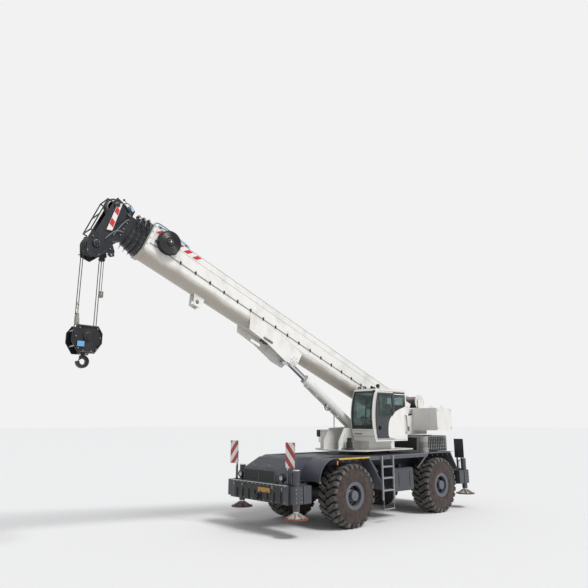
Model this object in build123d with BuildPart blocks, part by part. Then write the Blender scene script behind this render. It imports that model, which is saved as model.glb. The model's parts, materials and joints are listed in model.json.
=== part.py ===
from build123d import *
import os
from math import cos, radians, sin

# A rough terrain crane on four steered wheels, its five-section boom laid forward at a low angle.
# Millimetres. X points forward along the boom, Y to the machine's left, Z up from the ground.
# The origin is on the ground, midway between the foremost and rearmost points.

os.makedirs("parts", exist_ok=True)

# Fits
SEAT = 0.3  # gap between round faces that bear on each other
SLIDE = 0.5  # gap between a telescoping section and the collar that guides it
CLEAR = 8.0  # free gap between pieces that pass each other

# Carrier
SLEW_X = -3170.0  # slew axis, measured from the middle of the overall length
WHEELBASE = 4600.0
TYRE_OD = 1875.0
TYRE_WIDTH = 750.0
TRACK = 2550.0
KINGPIN_Y = 1000.0
AXLE_Z = TYRE_OD / 2
FRONT_X = SLEW_X + WHEELBASE / 2
REAR_X = SLEW_X - WHEELBASE / 2

FRAME_WIDTH = 900.0
FRAME_TOP = 2040.0
FRAME_BOTTOM = 1320.0
FRAME_BELLY = 1080.0  # underside between the axles
FRAME_WALL = 16.0
DECK_HALF = 1600.0
DECK_PLATE = 20.0
DECK_TOP = FRAME_TOP + DECK_PLATE

# Outriggers
BEAM_WIDTH = 296.0
BEAM_HEIGHT = 476.0
BEAM_WALL = 14.0
BEAM_HALF = 1600.0  # from the middle of the machine to the beam's end plate
BOX_HALF = 1370.0
BOX_WALL = 18.0
BOX_BOTTOM = 860.0
BEAM_GAP = CLEAR
BOX_PITCH = BEAM_WIDTH + 2 * BEAM_GAP + BOX_WALL
BOX_LENGTH = 2 * BOX_PITCH + BOX_WALL
BOX_HEIGHT = BEAM_HEIGHT + 2 * BEAM_GAP + 2 * BOX_WALL
BEAM_Z = BOX_BOTTOM + BOX_HEIGHT / 2
FRONT_BOX_X = FRONT_X + 2120.0
REAR_BOX_X = REAR_X - 1550.0
JACK_Y = 1490.0
JACK_RADIUS = 95.0
JACK_WALL = 20.0
JACK_TOP = 1780.0
JACK_BOTTOM = 700.0
FLOAT_RADIUS = 340.0
FLOAT_BOTTOM = 500.0
FLOAT_PLATE = 30.0
FLOAT_RIB = 130.0

# Turntable
RING_RADIUS = 900.0
RING_BORE = 620.0
RING_TOP = 2180.0
FLOOR_PLATE = 40.0
FLOOR_TOP = RING_TOP + FLOOR_PLATE
CHEEK_INNER = 338.0
CHEEK_PLATE = 36.0

# Boom, in its own plane: u runs along it from the pivot, v stands square to it
BOOM_ANGLE = 22.3
PIVOT_X = SLEW_X - 1900.0
PIVOT_Z = 3150.0
BOOM_WIDTH = 640.0
BOOM_LOW = -180.0
BOOM_HIGH = 830.0
BOOM_WALL = 12.0
BOOM_TIP = 11900.0
BOOM_HEEL = -250.0
STEP_WIDTH = 50.0
STEP_DEPTH = 70.0
STEP_TIP = 150.0
COLLAR = 110.0
SECTION_HEEL = 450.0

# Luffing cylinder
ROD_U = 5860.0
ROD_V = -350.0
BRACKET_HALF = BOOM_WIDTH / 2
BRACKET_PLATE = 16.0
LUFF_PIN = 55.0
GUSSET_FRONT = 8010.0
CAMERA_U = 9700.0  # bracket of the camera that watches the load
CAMERA_HALF = 110.0
FOOT_X = SLEW_X + 300.0
FOOT_Z = 2780.0


def boom_point(u, v):
    """World x and z of a point in the boom's own plane."""
    turn = radians(BOOM_ANGLE)
    return (
        PIVOT_X + u * cos(turn) - v * sin(turn),
        PIVOT_Z + u * sin(turn) + v * cos(turn),
    )


def side_plane(y=0.0):
    """Side view plane: local x is world X and local y is world Z."""
    return Plane(origin=(0, y, 0), x_dir=(1, 0, 0), z_dir=(0, -1, 0))


def boom_side(y=0.0):
    """Side view plane laid along the boom, in u and v."""
    turn = radians(BOOM_ANGLE)
    return Plane(origin=(PIVOT_X, y, PIVOT_Z), x_dir=(cos(turn), 0, sin(turn)), z_dir=(0, -1, 0))


def boom_cut(u):
    """Plane square to the boom at u: local x is world Y and local y is v."""
    turn = radians(BOOM_ANGLE)
    x, z = boom_point(u, 0)
    return Plane(origin=(x, 0, z), x_dir=(0, 1, 0), z_dir=(cos(turn), 0, sin(turn)))


NOSE_LOW = BOX_BOTTOM + BOX_HEIGHT
FRAME_FRONT = FRONT_BOX_X - BOX_LENGTH / 2
FRAME_REAR = REAR_X - 1460.0


def frame_outline():
    """The chassis frame's side outline as a flat face."""
    with BuildSketch() as outline:
        with BuildLine():
            Polyline(
                (FRAME_REAR, FRAME_TOP),
                (FRAME_FRONT, FRAME_TOP),
                (FRAME_FRONT, BOX_BOTTOM),
                (FRONT_X + 1200, FRAME_BOTTOM),
                (FRONT_X - 450, FRAME_BOTTOM),
                (FRONT_X - 900, FRAME_BELLY),
                (REAR_X + 900, FRAME_BELLY),
                (REAR_X + 450, FRAME_BOTTOM),
                (REAR_X - 700, FRAME_BOTTOM),
                (REAR_BOX_X + BOX_LENGTH / 2, BOX_BOTTOM),
                (REAR_BOX_X + BOX_LENGTH / 2, NOSE_LOW),
                (FRAME_REAR, NOSE_LOW),
                close=True,
            )
        make_face()
    return outline.sketch


# Chassis frame: one closed box girder, deeper between the axles, the transfer case under it
CASE_HALF = 300.0
CASE_WIDTH = 500.0
CASE_BOTTOM = 850.0
with BuildPart() as chassis_frame:
    with BuildSketch(side_plane()):
        add(frame_outline())
    extrude(amount=FRAME_WIDTH / 2, both=True)
    with BuildSketch(side_plane()):
        add(frame_outline())
        offset(amount=-FRAME_WALL, kind=Kind.INTERSECTION, mode=Mode.REPLACE)
    extrude(amount=FRAME_WIDTH / 2 - FRAME_WALL, both=True, mode=Mode.SUBTRACT)
    with Locations((SLEW_X, 0, (FRAME_BELLY + CASE_BOTTOM) / 2)):
        Box(2 * CASE_HALF, CASE_WIDTH, FRAME_BELLY - CASE_BOTTOM)
chassis_frame.part.label = "chassis_frame"
export_step(chassis_frame.part, "parts/chassis_frame.step")

TOW_REACH = 130.0
TOW_BORE = 30.0
TOW_PLATE = 50.0

# Outrigger boxes, front and rear: two transverse channels side by side, open at both ends
BOXES = [("front", FRONT_BOX_X), ("rear", REAR_BOX_X)]  # name, middle in x
for end, box_x in BOXES:
    with BuildPart() as outrigger_box:
        with Locations((box_x, 0, BEAM_Z)):
            Box(BOX_LENGTH, 2 * BOX_HALF, BOX_HEIGHT)
        for side in (-1, 1):
            with Locations((box_x + side * BOX_PITCH / 2, 0, BEAM_Z)):
                Box(
                    BEAM_WIDTH + 2 * BEAM_GAP,
                    2 * BOX_HALF,
                    BEAM_HEIGHT + 2 * BEAM_GAP,
                    mode=Mode.SUBTRACT,
                )
                with GridLocations(0, 2 * BOX_HALF - 240, 1, 2):
                    with Locations((0, 0, -BEAM_HEIGHT / 2 - BEAM_GAP / 2 - SEAT / 2)):
                        Box(BEAM_WIDTH - 60, 120, BEAM_GAP - SEAT)
        outer = 1 if box_x > SLEW_X else -1
        bumper_x = box_x + outer * BOX_LENGTH / 2
        with Locations((bumper_x + outer * 15, 0, BEAM_Z)):
            Box(30, 2 * BOX_HALF, BOX_HEIGHT)
        with GridLocations(0, 300, 1, 8):
            with Locations((bumper_x + outer * 45, 0, BEAM_Z - 100)):
                Box(30, 20, 280)
        with BuildSketch(side_plane()):
            with Locations((bumper_x + outer * (30 + TOW_REACH / 2), BOX_BOTTOM + 120)):
                Rectangle(TOW_REACH, 160)
            with Locations((bumper_x + outer * (30 + TOW_REACH - 70), BOX_BOTTOM + 120)):
                Circle(TOW_BORE, mode=Mode.SUBTRACT)
        extrude(amount=TOW_PLATE / 2, both=True)
    outrigger_box.part.label = f"{end}_outrigger_box"
    export_step(outrigger_box.part, f"parts/{end}_outrigger_box.step")

# Outrigger beams and jacks: the left beam is in the outer channel, the right one in the inner
BEAMS = [  # name, middle in x, side that it slides to
    ("front_left", FRONT_BOX_X + BOX_PITCH / 2, 1),
    ("front_right", FRONT_BOX_X - BOX_PITCH / 2, -1),
    ("rear_left", REAR_BOX_X - BOX_PITCH / 2, 1),
    ("rear_right", REAR_BOX_X + BOX_PITCH / 2, -1),
]
for name, beam_x, side in BEAMS:
    with BuildPart() as beam:
        with Locations((beam_x, 0, BEAM_Z)):
            Box(BEAM_WIDTH, 2 * BEAM_HALF, BEAM_HEIGHT)
            Box(
                BEAM_WIDTH - 2 * BEAM_WALL,
                2 * BEAM_HALF - 2 * BEAM_WALL,
                BEAM_HEIGHT - 2 * BEAM_WALL,
                mode=Mode.SUBTRACT,
            )
        with BuildSketch(Plane.XY.offset(JACK_BOTTOM)):
            with Locations((beam_x, side * JACK_Y)):
                Circle(JACK_RADIUS)
        extrude(amount=JACK_TOP - JACK_BOTTOM)
        with BuildSketch(Plane.XY.offset(JACK_BOTTOM)):
            with Locations((beam_x, side * JACK_Y)):
                Circle(JACK_RADIUS - JACK_WALL)
        extrude(amount=JACK_TOP - JACK_BOTTOM - JACK_WALL, mode=Mode.SUBTRACT)
    beam.part.label = f"outrigger_beam_{name}"
    export_step(beam.part, f"parts/outrigger_beam_{name}.step")

    with BuildPart() as jack:
        with BuildSketch(Plane.XY.offset(FLOAT_BOTTOM + FLOAT_PLATE)):
            with Locations((beam_x, side * JACK_Y)):
                Circle(JACK_RADIUS - JACK_WALL - SEAT)
        extrude(amount=JACK_TOP - JACK_WALL - CLEAR - FLOAT_BOTTOM - FLOAT_PLATE)
        with BuildSketch(Plane.XY.offset(FLOAT_BOTTOM)):
            with Locations((beam_x, side * JACK_Y)):
                Circle(FLOAT_RADIUS)
        extrude(amount=FLOAT_PLATE)
        with Locations((beam_x, side * JACK_Y, FLOAT_BOTTOM + FLOAT_PLATE + 30)):
            Cone(FLOAT_RADIUS * 0.6, JACK_RADIUS, 60)
        for turn in (0, 45, 90, 135):
            rib_plane = Plane(
                origin=(beam_x, side * JACK_Y, FLOAT_BOTTOM + FLOAT_PLATE),
                x_dir=(cos(radians(turn)), sin(radians(turn)), 0),
                z_dir=(sin(radians(turn)), -cos(radians(turn)), 0),
            )
            with BuildSketch(rib_plane):
                with BuildLine():
                    Polyline(
                        (-FLOAT_RADIUS + 30, 0),
                        (-JACK_RADIUS, FLOAT_RIB),
                        (JACK_RADIUS, FLOAT_RIB),
                        (FLOAT_RADIUS - 30, 0),
                        close=True,
                    )
                make_face()
            extrude(amount=8, both=True)
    jack.part.label = f"outrigger_jack_{name}"
    export_step(jack.part, f"parts/outrigger_jack_{name}.step")

# Deck and fenders: bent plate over each pair of wheels
NOSE_HALF = 750.0
NOSE_WALL = 10.0
FLAP_WIDTH = 420.0
with BuildPart() as deck:
    with BuildSketch(side_plane(-DECK_HALF)):
        with BuildLine() as fender_line:
            Polyline(
                (REAR_X - 1130, 1420),
                (REAR_X - 700, DECK_TOP - DECK_PLATE / 2),
                (FRONT_X + 900, DECK_TOP - DECK_PLATE / 2),
            )
            ThreePointArc(
                (FRONT_X + 900, DECK_TOP - DECK_PLATE / 2),
                (FRONT_X + 1250, 1890),
                (FRONT_X + 1470, 1430),
            )
        trace(line_width=DECK_PLATE)
    extrude(amount=-2 * DECK_HALF)
    with Locations((SLEW_X, 0, FRAME_TOP / 2)):
        Box(4 * WHEELBASE, FRAME_WIDTH + 80, FRAME_TOP, mode=Mode.SUBTRACT)
    with Locations((FRONT_X + 900 + WHEELBASE / 2, 0, FRAME_TOP)):
        Box(WHEELBASE, 2 * (NOSE_HALF + NOSE_WALL), 2 * FRAME_TOP, mode=Mode.SUBTRACT)
    for side in (-1, 1):
        with BuildSketch(side_plane(side * DECK_HALF)):
            with BuildLine():
                Polyline(
                    (REAR_X - 700, DECK_TOP - DECK_PLATE),
                    (REAR_X + 640, DECK_TOP - DECK_PLATE),
                    (REAR_X + 1300, 1590),
                    (REAR_X + 1380, 1590),
                    (REAR_X + 900, DECK_TOP - 120),
                    (FRONT_X - 800, DECK_TOP - 120),
                    (FRONT_X - 1150, 1560),
                    (FRONT_X - 1100, 1560),
                    (FRONT_X - 680, DECK_TOP - DECK_PLATE),
                    (FRONT_X + 900, DECK_TOP - DECK_PLATE),
                    (FRONT_X + 900, DECK_TOP),
                    (REAR_X - 700, DECK_TOP),
                    close=True,
                )
            make_face()
        extrude(amount=side * 12)
        with BuildSketch(side_plane(side * DECK_HALF)):
            with BuildLine():
                Polyline(
                    (FRONT_X - 680, DECK_TOP - DECK_PLATE),
                    (FRONT_X - 1470, 990),
                    (FRONT_X - 1495, 1000),
                    (FRONT_X - 720, DECK_TOP - DECK_PLATE),
                    close=True,
                )
            make_face()
        extrude(amount=side * FLAP_WIDTH)
deck.part.label = "deck_and_fenders"
export_step(deck.part, "parts/deck_and_fenders.step")

# Nose cover: sheet box over the front outriggers, its top sloping down to the front
NOSE_TOP_BACK = FRONT_X + 900.0
NOSE_SIDE_BACK = FRONT_X + 1000.0
NOSE_RIDGE = FRONT_X + 1850.0
NOSE_FRONT = FRONT_X + 2450.0
NOSE_EDGE = 1760.0
with BuildPart() as nose_cover:
    with BuildSketch(side_plane()):
        with BuildLine():
            Polyline(
                (NOSE_TOP_BACK, DECK_TOP),
                (NOSE_RIDGE, DECK_TOP),
                (NOSE_FRONT, NOSE_EDGE),
                (NOSE_FRONT, NOSE_LOW),
                (NOSE_FRONT - NOSE_WALL, NOSE_LOW),
                (NOSE_FRONT - NOSE_WALL, NOSE_EDGE - 10),
                (NOSE_RIDGE, FRAME_TOP),
                (NOSE_TOP_BACK, FRAME_TOP),
                close=True,
            )
        make_face()
    extrude(amount=NOSE_HALF, both=True)
    for side in (-1, 1):
        with BuildSketch(side_plane(side * NOSE_HALF)):
            with BuildLine():
                Polyline(
                    (NOSE_SIDE_BACK, DECK_TOP),
                    (NOSE_RIDGE, DECK_TOP),
                    (NOSE_FRONT, NOSE_EDGE),
                    (NOSE_FRONT, NOSE_LOW),
                    (NOSE_SIDE_BACK, NOSE_LOW),
                    close=True,
                )
            make_face()
        extrude(amount=-side * NOSE_WALL)
nose_cover.part.label = "nose_cover"
export_step(nose_cover.part, "parts/nose_cover.step")

# Slew ring on the carrier's frame
with BuildPart() as slew_ring:
    with BuildSketch(Plane.XY.offset(DECK_TOP)):
        with Locations((SLEW_X, 0)):
            Circle(RING_RADIUS)
            Circle(RING_BORE, mode=Mode.SUBTRACT)
    extrude(amount=RING_TOP - DECK_TOP - SLIDE)
slew_ring.part.label = "slew_ring"
export_step(slew_ring.part, "parts/slew_ring.step")

# Engine block and hood at the rear of the carrier
HOOD_FRONT = SLEW_X - 1950.0
HOOD_BACK = SLEW_X - 3720.0
HOOD_HALF = 1000.0
HOOD_TOP = 2630.0
HOOD_WALL = 8.0
SLAT = 28.0
SLAT_PITCH = 115.0
SLATS = 14
CLEANER_RADIUS = 150.0
CLEANER_HEIGHT = 560.0
CLEANER_Y = 1300.0
CLEANER_AHEAD = 130.0
with BuildPart() as engine_block:
    with Locations(((HOOD_FRONT + HOOD_BACK) / 2, 0, DECK_TOP + 240)):
        Box(1300, 750, 480)
engine_block.part.label = "engine_block"
export_step(engine_block.part, "parts/engine_block.step")

with BuildPart() as engine_hood:
    with BuildSketch(side_plane()):
        with BuildLine():
            Polyline(
                (HOOD_FRONT, DECK_TOP),
                (HOOD_FRONT - 60, HOOD_TOP),
                (HOOD_BACK + 60, HOOD_TOP),
                (HOOD_BACK, DECK_TOP),
                close=True,
            )
        make_face()
    extrude(amount=HOOD_HALF, both=True)
    with BuildSketch(side_plane()):
        with BuildLine():
            Polyline(
                (HOOD_FRONT - HOOD_WALL, DECK_TOP),
                (HOOD_FRONT - 60 - HOOD_WALL, HOOD_TOP - HOOD_WALL),
                (HOOD_BACK + 60 + HOOD_WALL, HOOD_TOP - HOOD_WALL),
                (HOOD_BACK + HOOD_WALL, DECK_TOP),
                close=True,
            )
        make_face()
    extrude(amount=HOOD_HALF - HOOD_WALL, both=True, mode=Mode.SUBTRACT)
    for side in (-1, 1):
        with Locations(
            ((HOOD_FRONT + HOOD_BACK) / 2, side * (HOOD_HALF + SLAT / 2), (DECK_TOP + HOOD_TOP) / 2)
        ):
            with GridLocations(SLAT_PITCH, 0, SLATS, 1):
                Box(SLAT, SLAT, HOOD_TOP - DECK_TOP - 80)
        with Locations((HOOD_FRONT + CLEANER_AHEAD, side * CLEANER_Y, DECK_TOP)):
            Cylinder(CLEANER_RADIUS, CLEANER_HEIGHT, align=(Align.CENTER, Align.CENTER, Align.MIN))
    with Locations(((HOOD_FRONT + HOOD_BACK) / 2, 0, HOOD_TOP)):
        with GridLocations(SLAT_PITCH, 0, SLATS - 2, 1):
            Box(SLAT, HOOD_HALF, SLAT)
engine_hood.part.label = "engine_hood"
export_step(engine_hood.part, "parts/engine_hood.step")

# Fuel tank and ladders under the deck's edge
TANK_FRONT = SLEW_X + 310.0
TANK_BACK = SLEW_X - 680.0
TANK_TOP = 1630.0
TANK_BOTTOM = 890.0
TANK_INNER = FRAME_WIDTH / 2
TANK_WALL = 8.0
TANK_ROUND = 70.0
with BuildPart() as tanks:
    for side in (-1, 1):
        middle = (side * (TANK_INNER + DECK_HALF) / 2, (TANK_TOP + TANK_BOTTOM) / 2)
        width = DECK_HALF - TANK_INNER
        height = TANK_TOP - TANK_BOTTOM
        with BuildSketch(Plane.YZ.offset(TANK_BACK)):
            with Locations(middle):
                RectangleRounded(width, height, TANK_ROUND)
        extrude(amount=TANK_FRONT - TANK_BACK)
        with BuildSketch(Plane.YZ.offset(TANK_BACK + TANK_WALL)):
            with Locations(middle):
                RectangleRounded(width - 2 * TANK_WALL, height - 2 * TANK_WALL, TANK_ROUND - TANK_WALL)
        extrude(amount=TANK_FRONT - TANK_BACK - 2 * TANK_WALL, mode=Mode.SUBTRACT)
tanks.part.label = "tanks"
export_step(tanks.part, "parts/tanks.step")

LADDER_X = SLEW_X + 700.0
LADDER_WIDTH = 560.0
LADDER_RAIL = 50.0
LADDER_BOTTOM = 690.0
RUNG_HEIGHTS = (980.0, 1360.0, 1710.0)
with BuildPart() as ladders:
    for side in (-1, 1):
        with Locations(
            (LADDER_X, side * (DECK_HALF + LADDER_RAIL / 2), (DECK_TOP + LADDER_BOTTOM) / 2)
        ):
            with GridLocations(LADDER_WIDTH, 0, 2, 1):
                Box(LADDER_RAIL, LADDER_RAIL, DECK_TOP - LADDER_BOTTOM)
        for rung in RUNG_HEIGHTS:
            with Locations((LADDER_X, side * (DECK_HALF + LADDER_RAIL / 2), rung)):
                Box(LADDER_WIDTH, LADDER_RAIL, 40)
ladders.part.label = "ladders"
export_step(ladders.part, "parts/ladders.step")

# Axles: a differential housing with a tube and a kingpin eye at each end
AXLE_TUBE = 130.0
AXLE_BULGE = 250.0
SHAFT_RADIUS = 60.0
SHAFT_REACH = WHEELBASE / 2 - CASE_HALF  # from the axle's middle to the transfer case
EYE_RADIUS = 125.0
EYE_HALF = 130.0
PIN_RADIUS = 42.0
for end, axle_x in (("front", FRONT_X), ("rear", REAR_X)):
    with BuildPart() as axle:
        with BuildSketch(Plane(origin=(axle_x, 0, AXLE_Z), x_dir=(0, 1, 0), z_dir=(1, 0, 0))):
            with BuildLine():
                Polyline(
                    (-KINGPIN_Y, 0),
                    (-KINGPIN_Y, AXLE_TUBE - 20),
                    (-500, AXLE_TUBE),
                    (-260, AXLE_BULGE),
                    (260, AXLE_BULGE),
                    (500, AXLE_TUBE),
                    (KINGPIN_Y, AXLE_TUBE - 20),
                    (KINGPIN_Y, 0),
                    close=True,
                )
            make_face()
        revolve(axis=Axis((axle_x, 0, AXLE_Z), (0, 1, 0)))
        for side in (-1, 1):
            with Locations((axle_x, side * KINGPIN_Y, AXLE_Z)):
                Cylinder(EYE_RADIUS, 2 * EYE_HALF)
                Cylinder(PIN_RADIUS + SEAT, 4 * EYE_HALF, mode=Mode.SUBTRACT)
            with Locations((axle_x, side * (FRAME_WIDTH / 2 - 70), (AXLE_Z + FRAME_BOTTOM) / 2)):
                Box(260, 120, FRAME_BOTTOM - AXLE_Z)
        inward = 1 if axle_x < SLEW_X else -1
        with BuildSketch(Plane(origin=(axle_x, 0, AXLE_Z), x_dir=(0, 1, 0), z_dir=(inward, 0, 0))):
            Circle(SHAFT_RADIUS)
        extrude(amount=SHAFT_REACH)
    axle.part.label = f"{end}_axle"
    export_step(axle.part, f"parts/{end}_axle.step")

# Wheels: each has a knuckle on the kingpins, a rim with its planetary hub, and a tyre
RIM_SEAT = 318.0
RIM_FLANGE = 408.0
RIM_WALL = 18.0
RIM_HALF = 330.0
HUB_RADIUS = 205.0
HUB_OUTER = 220.0
HUB_INNER = 20.0
SPINDLE = 90.0
SPINDLE_END = 140.0
SHOULDER = TYRE_WIDTH / 2 - 20
WALL_WIDEST = 600.0
WALL_HIGH = 805.0
BEAD_RADIUS = RIM_FLANGE + 12
LUGS = 15
LUG_WIDTH = 170.0
LUG_LEAN = 110.0  # how far a lug's middle stands ahead of its ends
LUG_TOP = ((TYRE_OD / 2) ** 2 - ((LUG_WIDTH + LUG_LEAN) / 2) ** 2) ** 0.5
LUG_FLOOR = LUG_TOP - 45
CARCASS = [  # distance from the tyre's middle plane, radius
    (TYRE_WIDTH / 2, WALL_WIDEST),
    (SHOULDER, WALL_HIGH),
    (SHOULDER - 40, LUG_FLOOR),
    (40 - SHOULDER, LUG_FLOOR),
    (-SHOULDER, WALL_HIGH),
    (-TYRE_WIDTH / 2, WALL_WIDEST),
]


def tyre_ring(y, radius):
    """The tyre's many-sided outline at y, its flats square under the lugs."""
    with BuildSketch(Plane.XZ.offset(-y)) as outline:
        RegularPolygon(radius, 2 * LUGS, major_radius=False)
    return outline.sketch


def tread_lugs():
    """Chevron bars set round the Y axis."""
    lean = LUG_LEAN / 2
    half = LUG_WIDTH / 2
    with BuildPart() as bar:
        with BuildSketch(Plane.XY.offset(LUG_FLOOR - 20)):
            with BuildLine():
                Polyline(
                    (lean + half, 0),
                    (half - lean, SHOULDER),
                    (-lean - half, SHOULDER),
                    (lean - half, 0),
                    (-lean - half, -SHOULDER),
                    (half - lean, -SHOULDER),
                    close=True,
                )
            make_face()
        extrude(amount=LUG_TOP - LUG_FLOOR + 20)
    return [bar.part.rotate(Axis.Y, 360 / LUGS * step) for step in range(LUGS)]


with BuildPart() as bore:
    add(tyre_ring(-TYRE_WIDTH / 2, RIM_SEAT + SEAT))
    add(tyre_ring(TYRE_WIDTH / 2, RIM_SEAT + SEAT))
    loft(ruled=True)
    for row in (-1, 1):
        add(tyre_ring(row * TYRE_WIDTH / 2, WALL_WIDEST - 30))
        add(tyre_ring(row * RIM_HALF, BEAD_RADIUS))
        loft(ruled=True)
with BuildPart() as tyre:
    for ring_y, radius in CARCASS:
        add(tyre_ring(ring_y, radius))
    loft(ruled=True)
    add(tread_lugs())
    add(bore.part, mode=Mode.SUBTRACT)

WHEELS = [  # name, x of the axle, side
    ("front_left", FRONT_X, 1),
    ("front_right", FRONT_X, -1),
    ("rear_left", REAR_X, 1),
    ("rear_right", REAR_X, -1),
]
for name, axle_x, side in WHEELS:
    wheel_y = side * TRACK / 2
    wheel_plane = Plane(
        origin=(axle_x, wheel_y, AXLE_Z), x_dir=(0, side, 0), z_dir=(side, 0, 0)
    )
    wheel_axis = Axis((axle_x, wheel_y, AXLE_Z), (0, 1, 0))
    king = side * KINGPIN_Y - wheel_y
    king_in = -abs(king)
    with BuildPart() as knuckle:
        with BuildSketch(wheel_plane):
            with BuildLine():
                Polyline(
                    (king_in + EYE_RADIUS + 40, 0),
                    (king_in + EYE_RADIUS + 40, HUB_RADIUS),
                    (HUB_INNER - CLEAR, HUB_RADIUS - 20),
                    (HUB_INNER - CLEAR, SPINDLE),
                    (SPINDLE_END, SPINDLE),
                    (SPINDLE_END, 0),
                    close=True,
                )
            make_face()
        revolve(axis=wheel_axis)
        for up in (-1, 1):
            with Locations(
                (
                    axle_x,
                    side * (KINGPIN_Y + (EYE_RADIUS + 40) / 2),
                    AXLE_Z + up * (EYE_HALF + CLEAR + 25),
                )
            ):
                Box(200, EYE_RADIUS + 60, 50)
            with Locations((axle_x, side * KINGPIN_Y, AXLE_Z + up * (EYE_HALF + CLEAR + 25))):
                Cylinder(100, 50)
        with Locations((axle_x, side * KINGPIN_Y, AXLE_Z)):
            Cylinder(PIN_RADIUS, 2 * (EYE_HALF + CLEAR + 30))
    knuckle.part.label = f"knuckle_{name}"
    export_step(knuckle.part, f"parts/knuckle_{name}.step")

    with BuildPart() as rim:
        with BuildSketch(wheel_plane):
            with BuildLine():
                Polyline(
                    (-RIM_HALF, RIM_SEAT - RIM_WALL),
                    (-RIM_HALF - 20, RIM_FLANGE - 20),
                    (-RIM_HALF - 20, RIM_FLANGE),
                    (-RIM_HALF, RIM_FLANGE),
                    (-RIM_HALF, RIM_SEAT),
                    (RIM_HALF, RIM_SEAT),
                    (RIM_HALF, RIM_FLANGE),
                    (RIM_HALF + 20, RIM_FLANGE),
                    (RIM_HALF + 20, RIM_FLANGE - 20),
                    (RIM_HALF, RIM_SEAT - RIM_WALL),
                    (100, RIM_SEAT - RIM_WALL),
                    (60, HUB_RADIUS),
                    (HUB_OUTER - 30, HUB_RADIUS),
                    (HUB_OUTER, HUB_RADIUS - 40),
                    (HUB_OUTER, 0),
                    (SPINDLE_END + CLEAR, 0),
                    (SPINDLE_END + CLEAR, SPINDLE + SEAT),
                    (HUB_INNER, SPINDLE + SEAT),
                    (HUB_INNER, HUB_RADIUS),
                    (60, RIM_SEAT - RIM_WALL),
                    close=True,
                )
            make_face()
        revolve(axis=wheel_axis)
    rim.part.label = f"rim_{name}"
    export_step(rim.part, f"parts/rim_{name}.step")

    placed_tyre = Pos(axle_x, wheel_y, AXLE_Z) * tyre.part
    placed_tyre.label = f"tyre_{name}"
    export_step(placed_tyre, f"parts/tyre_{name}.step")

# Turntable: floor plate, two cheeks that carry the boom's pivot, the winches and the cylinder's foot
FOOT_GAP = 150.0
FOOT_LUG = 40.0
SWING = 1800.0  # nothing low on the turntable reaches further out than this, to pass the hood
TABLE_FRONT = SLEW_X + 1740.0
OVER_HOOD = HOOD_TOP + 50.0
WINCH_PIN = 60.0
DRUM_HALF = 300.0
WINCHES = [  # name, x and z of the axle, flange radius
    ("main", SLEW_X - 3040.0, 3900.0, 290.0),
    ("auxiliary", SLEW_X - 3080.0, 3240.0, 255.0),
]
CAB_BOTTOM = 2500.0
CAB_BRACKET_FRONT = SLEW_X + 800.0
TILT_X = SLEW_X - 420.0  # the hinge that the cab tilts back on
TILT_Z = CAB_BOTTOM - 40
TILT_INNER = 500.0
TILT_OUTER = 880.0
TILT_BOSS = 35.0
TILT_PIN = 25.0
TILT_LUG = 36.0
CAB_BRACKET_BACK = TILT_X + TILT_BOSS + 15
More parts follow.
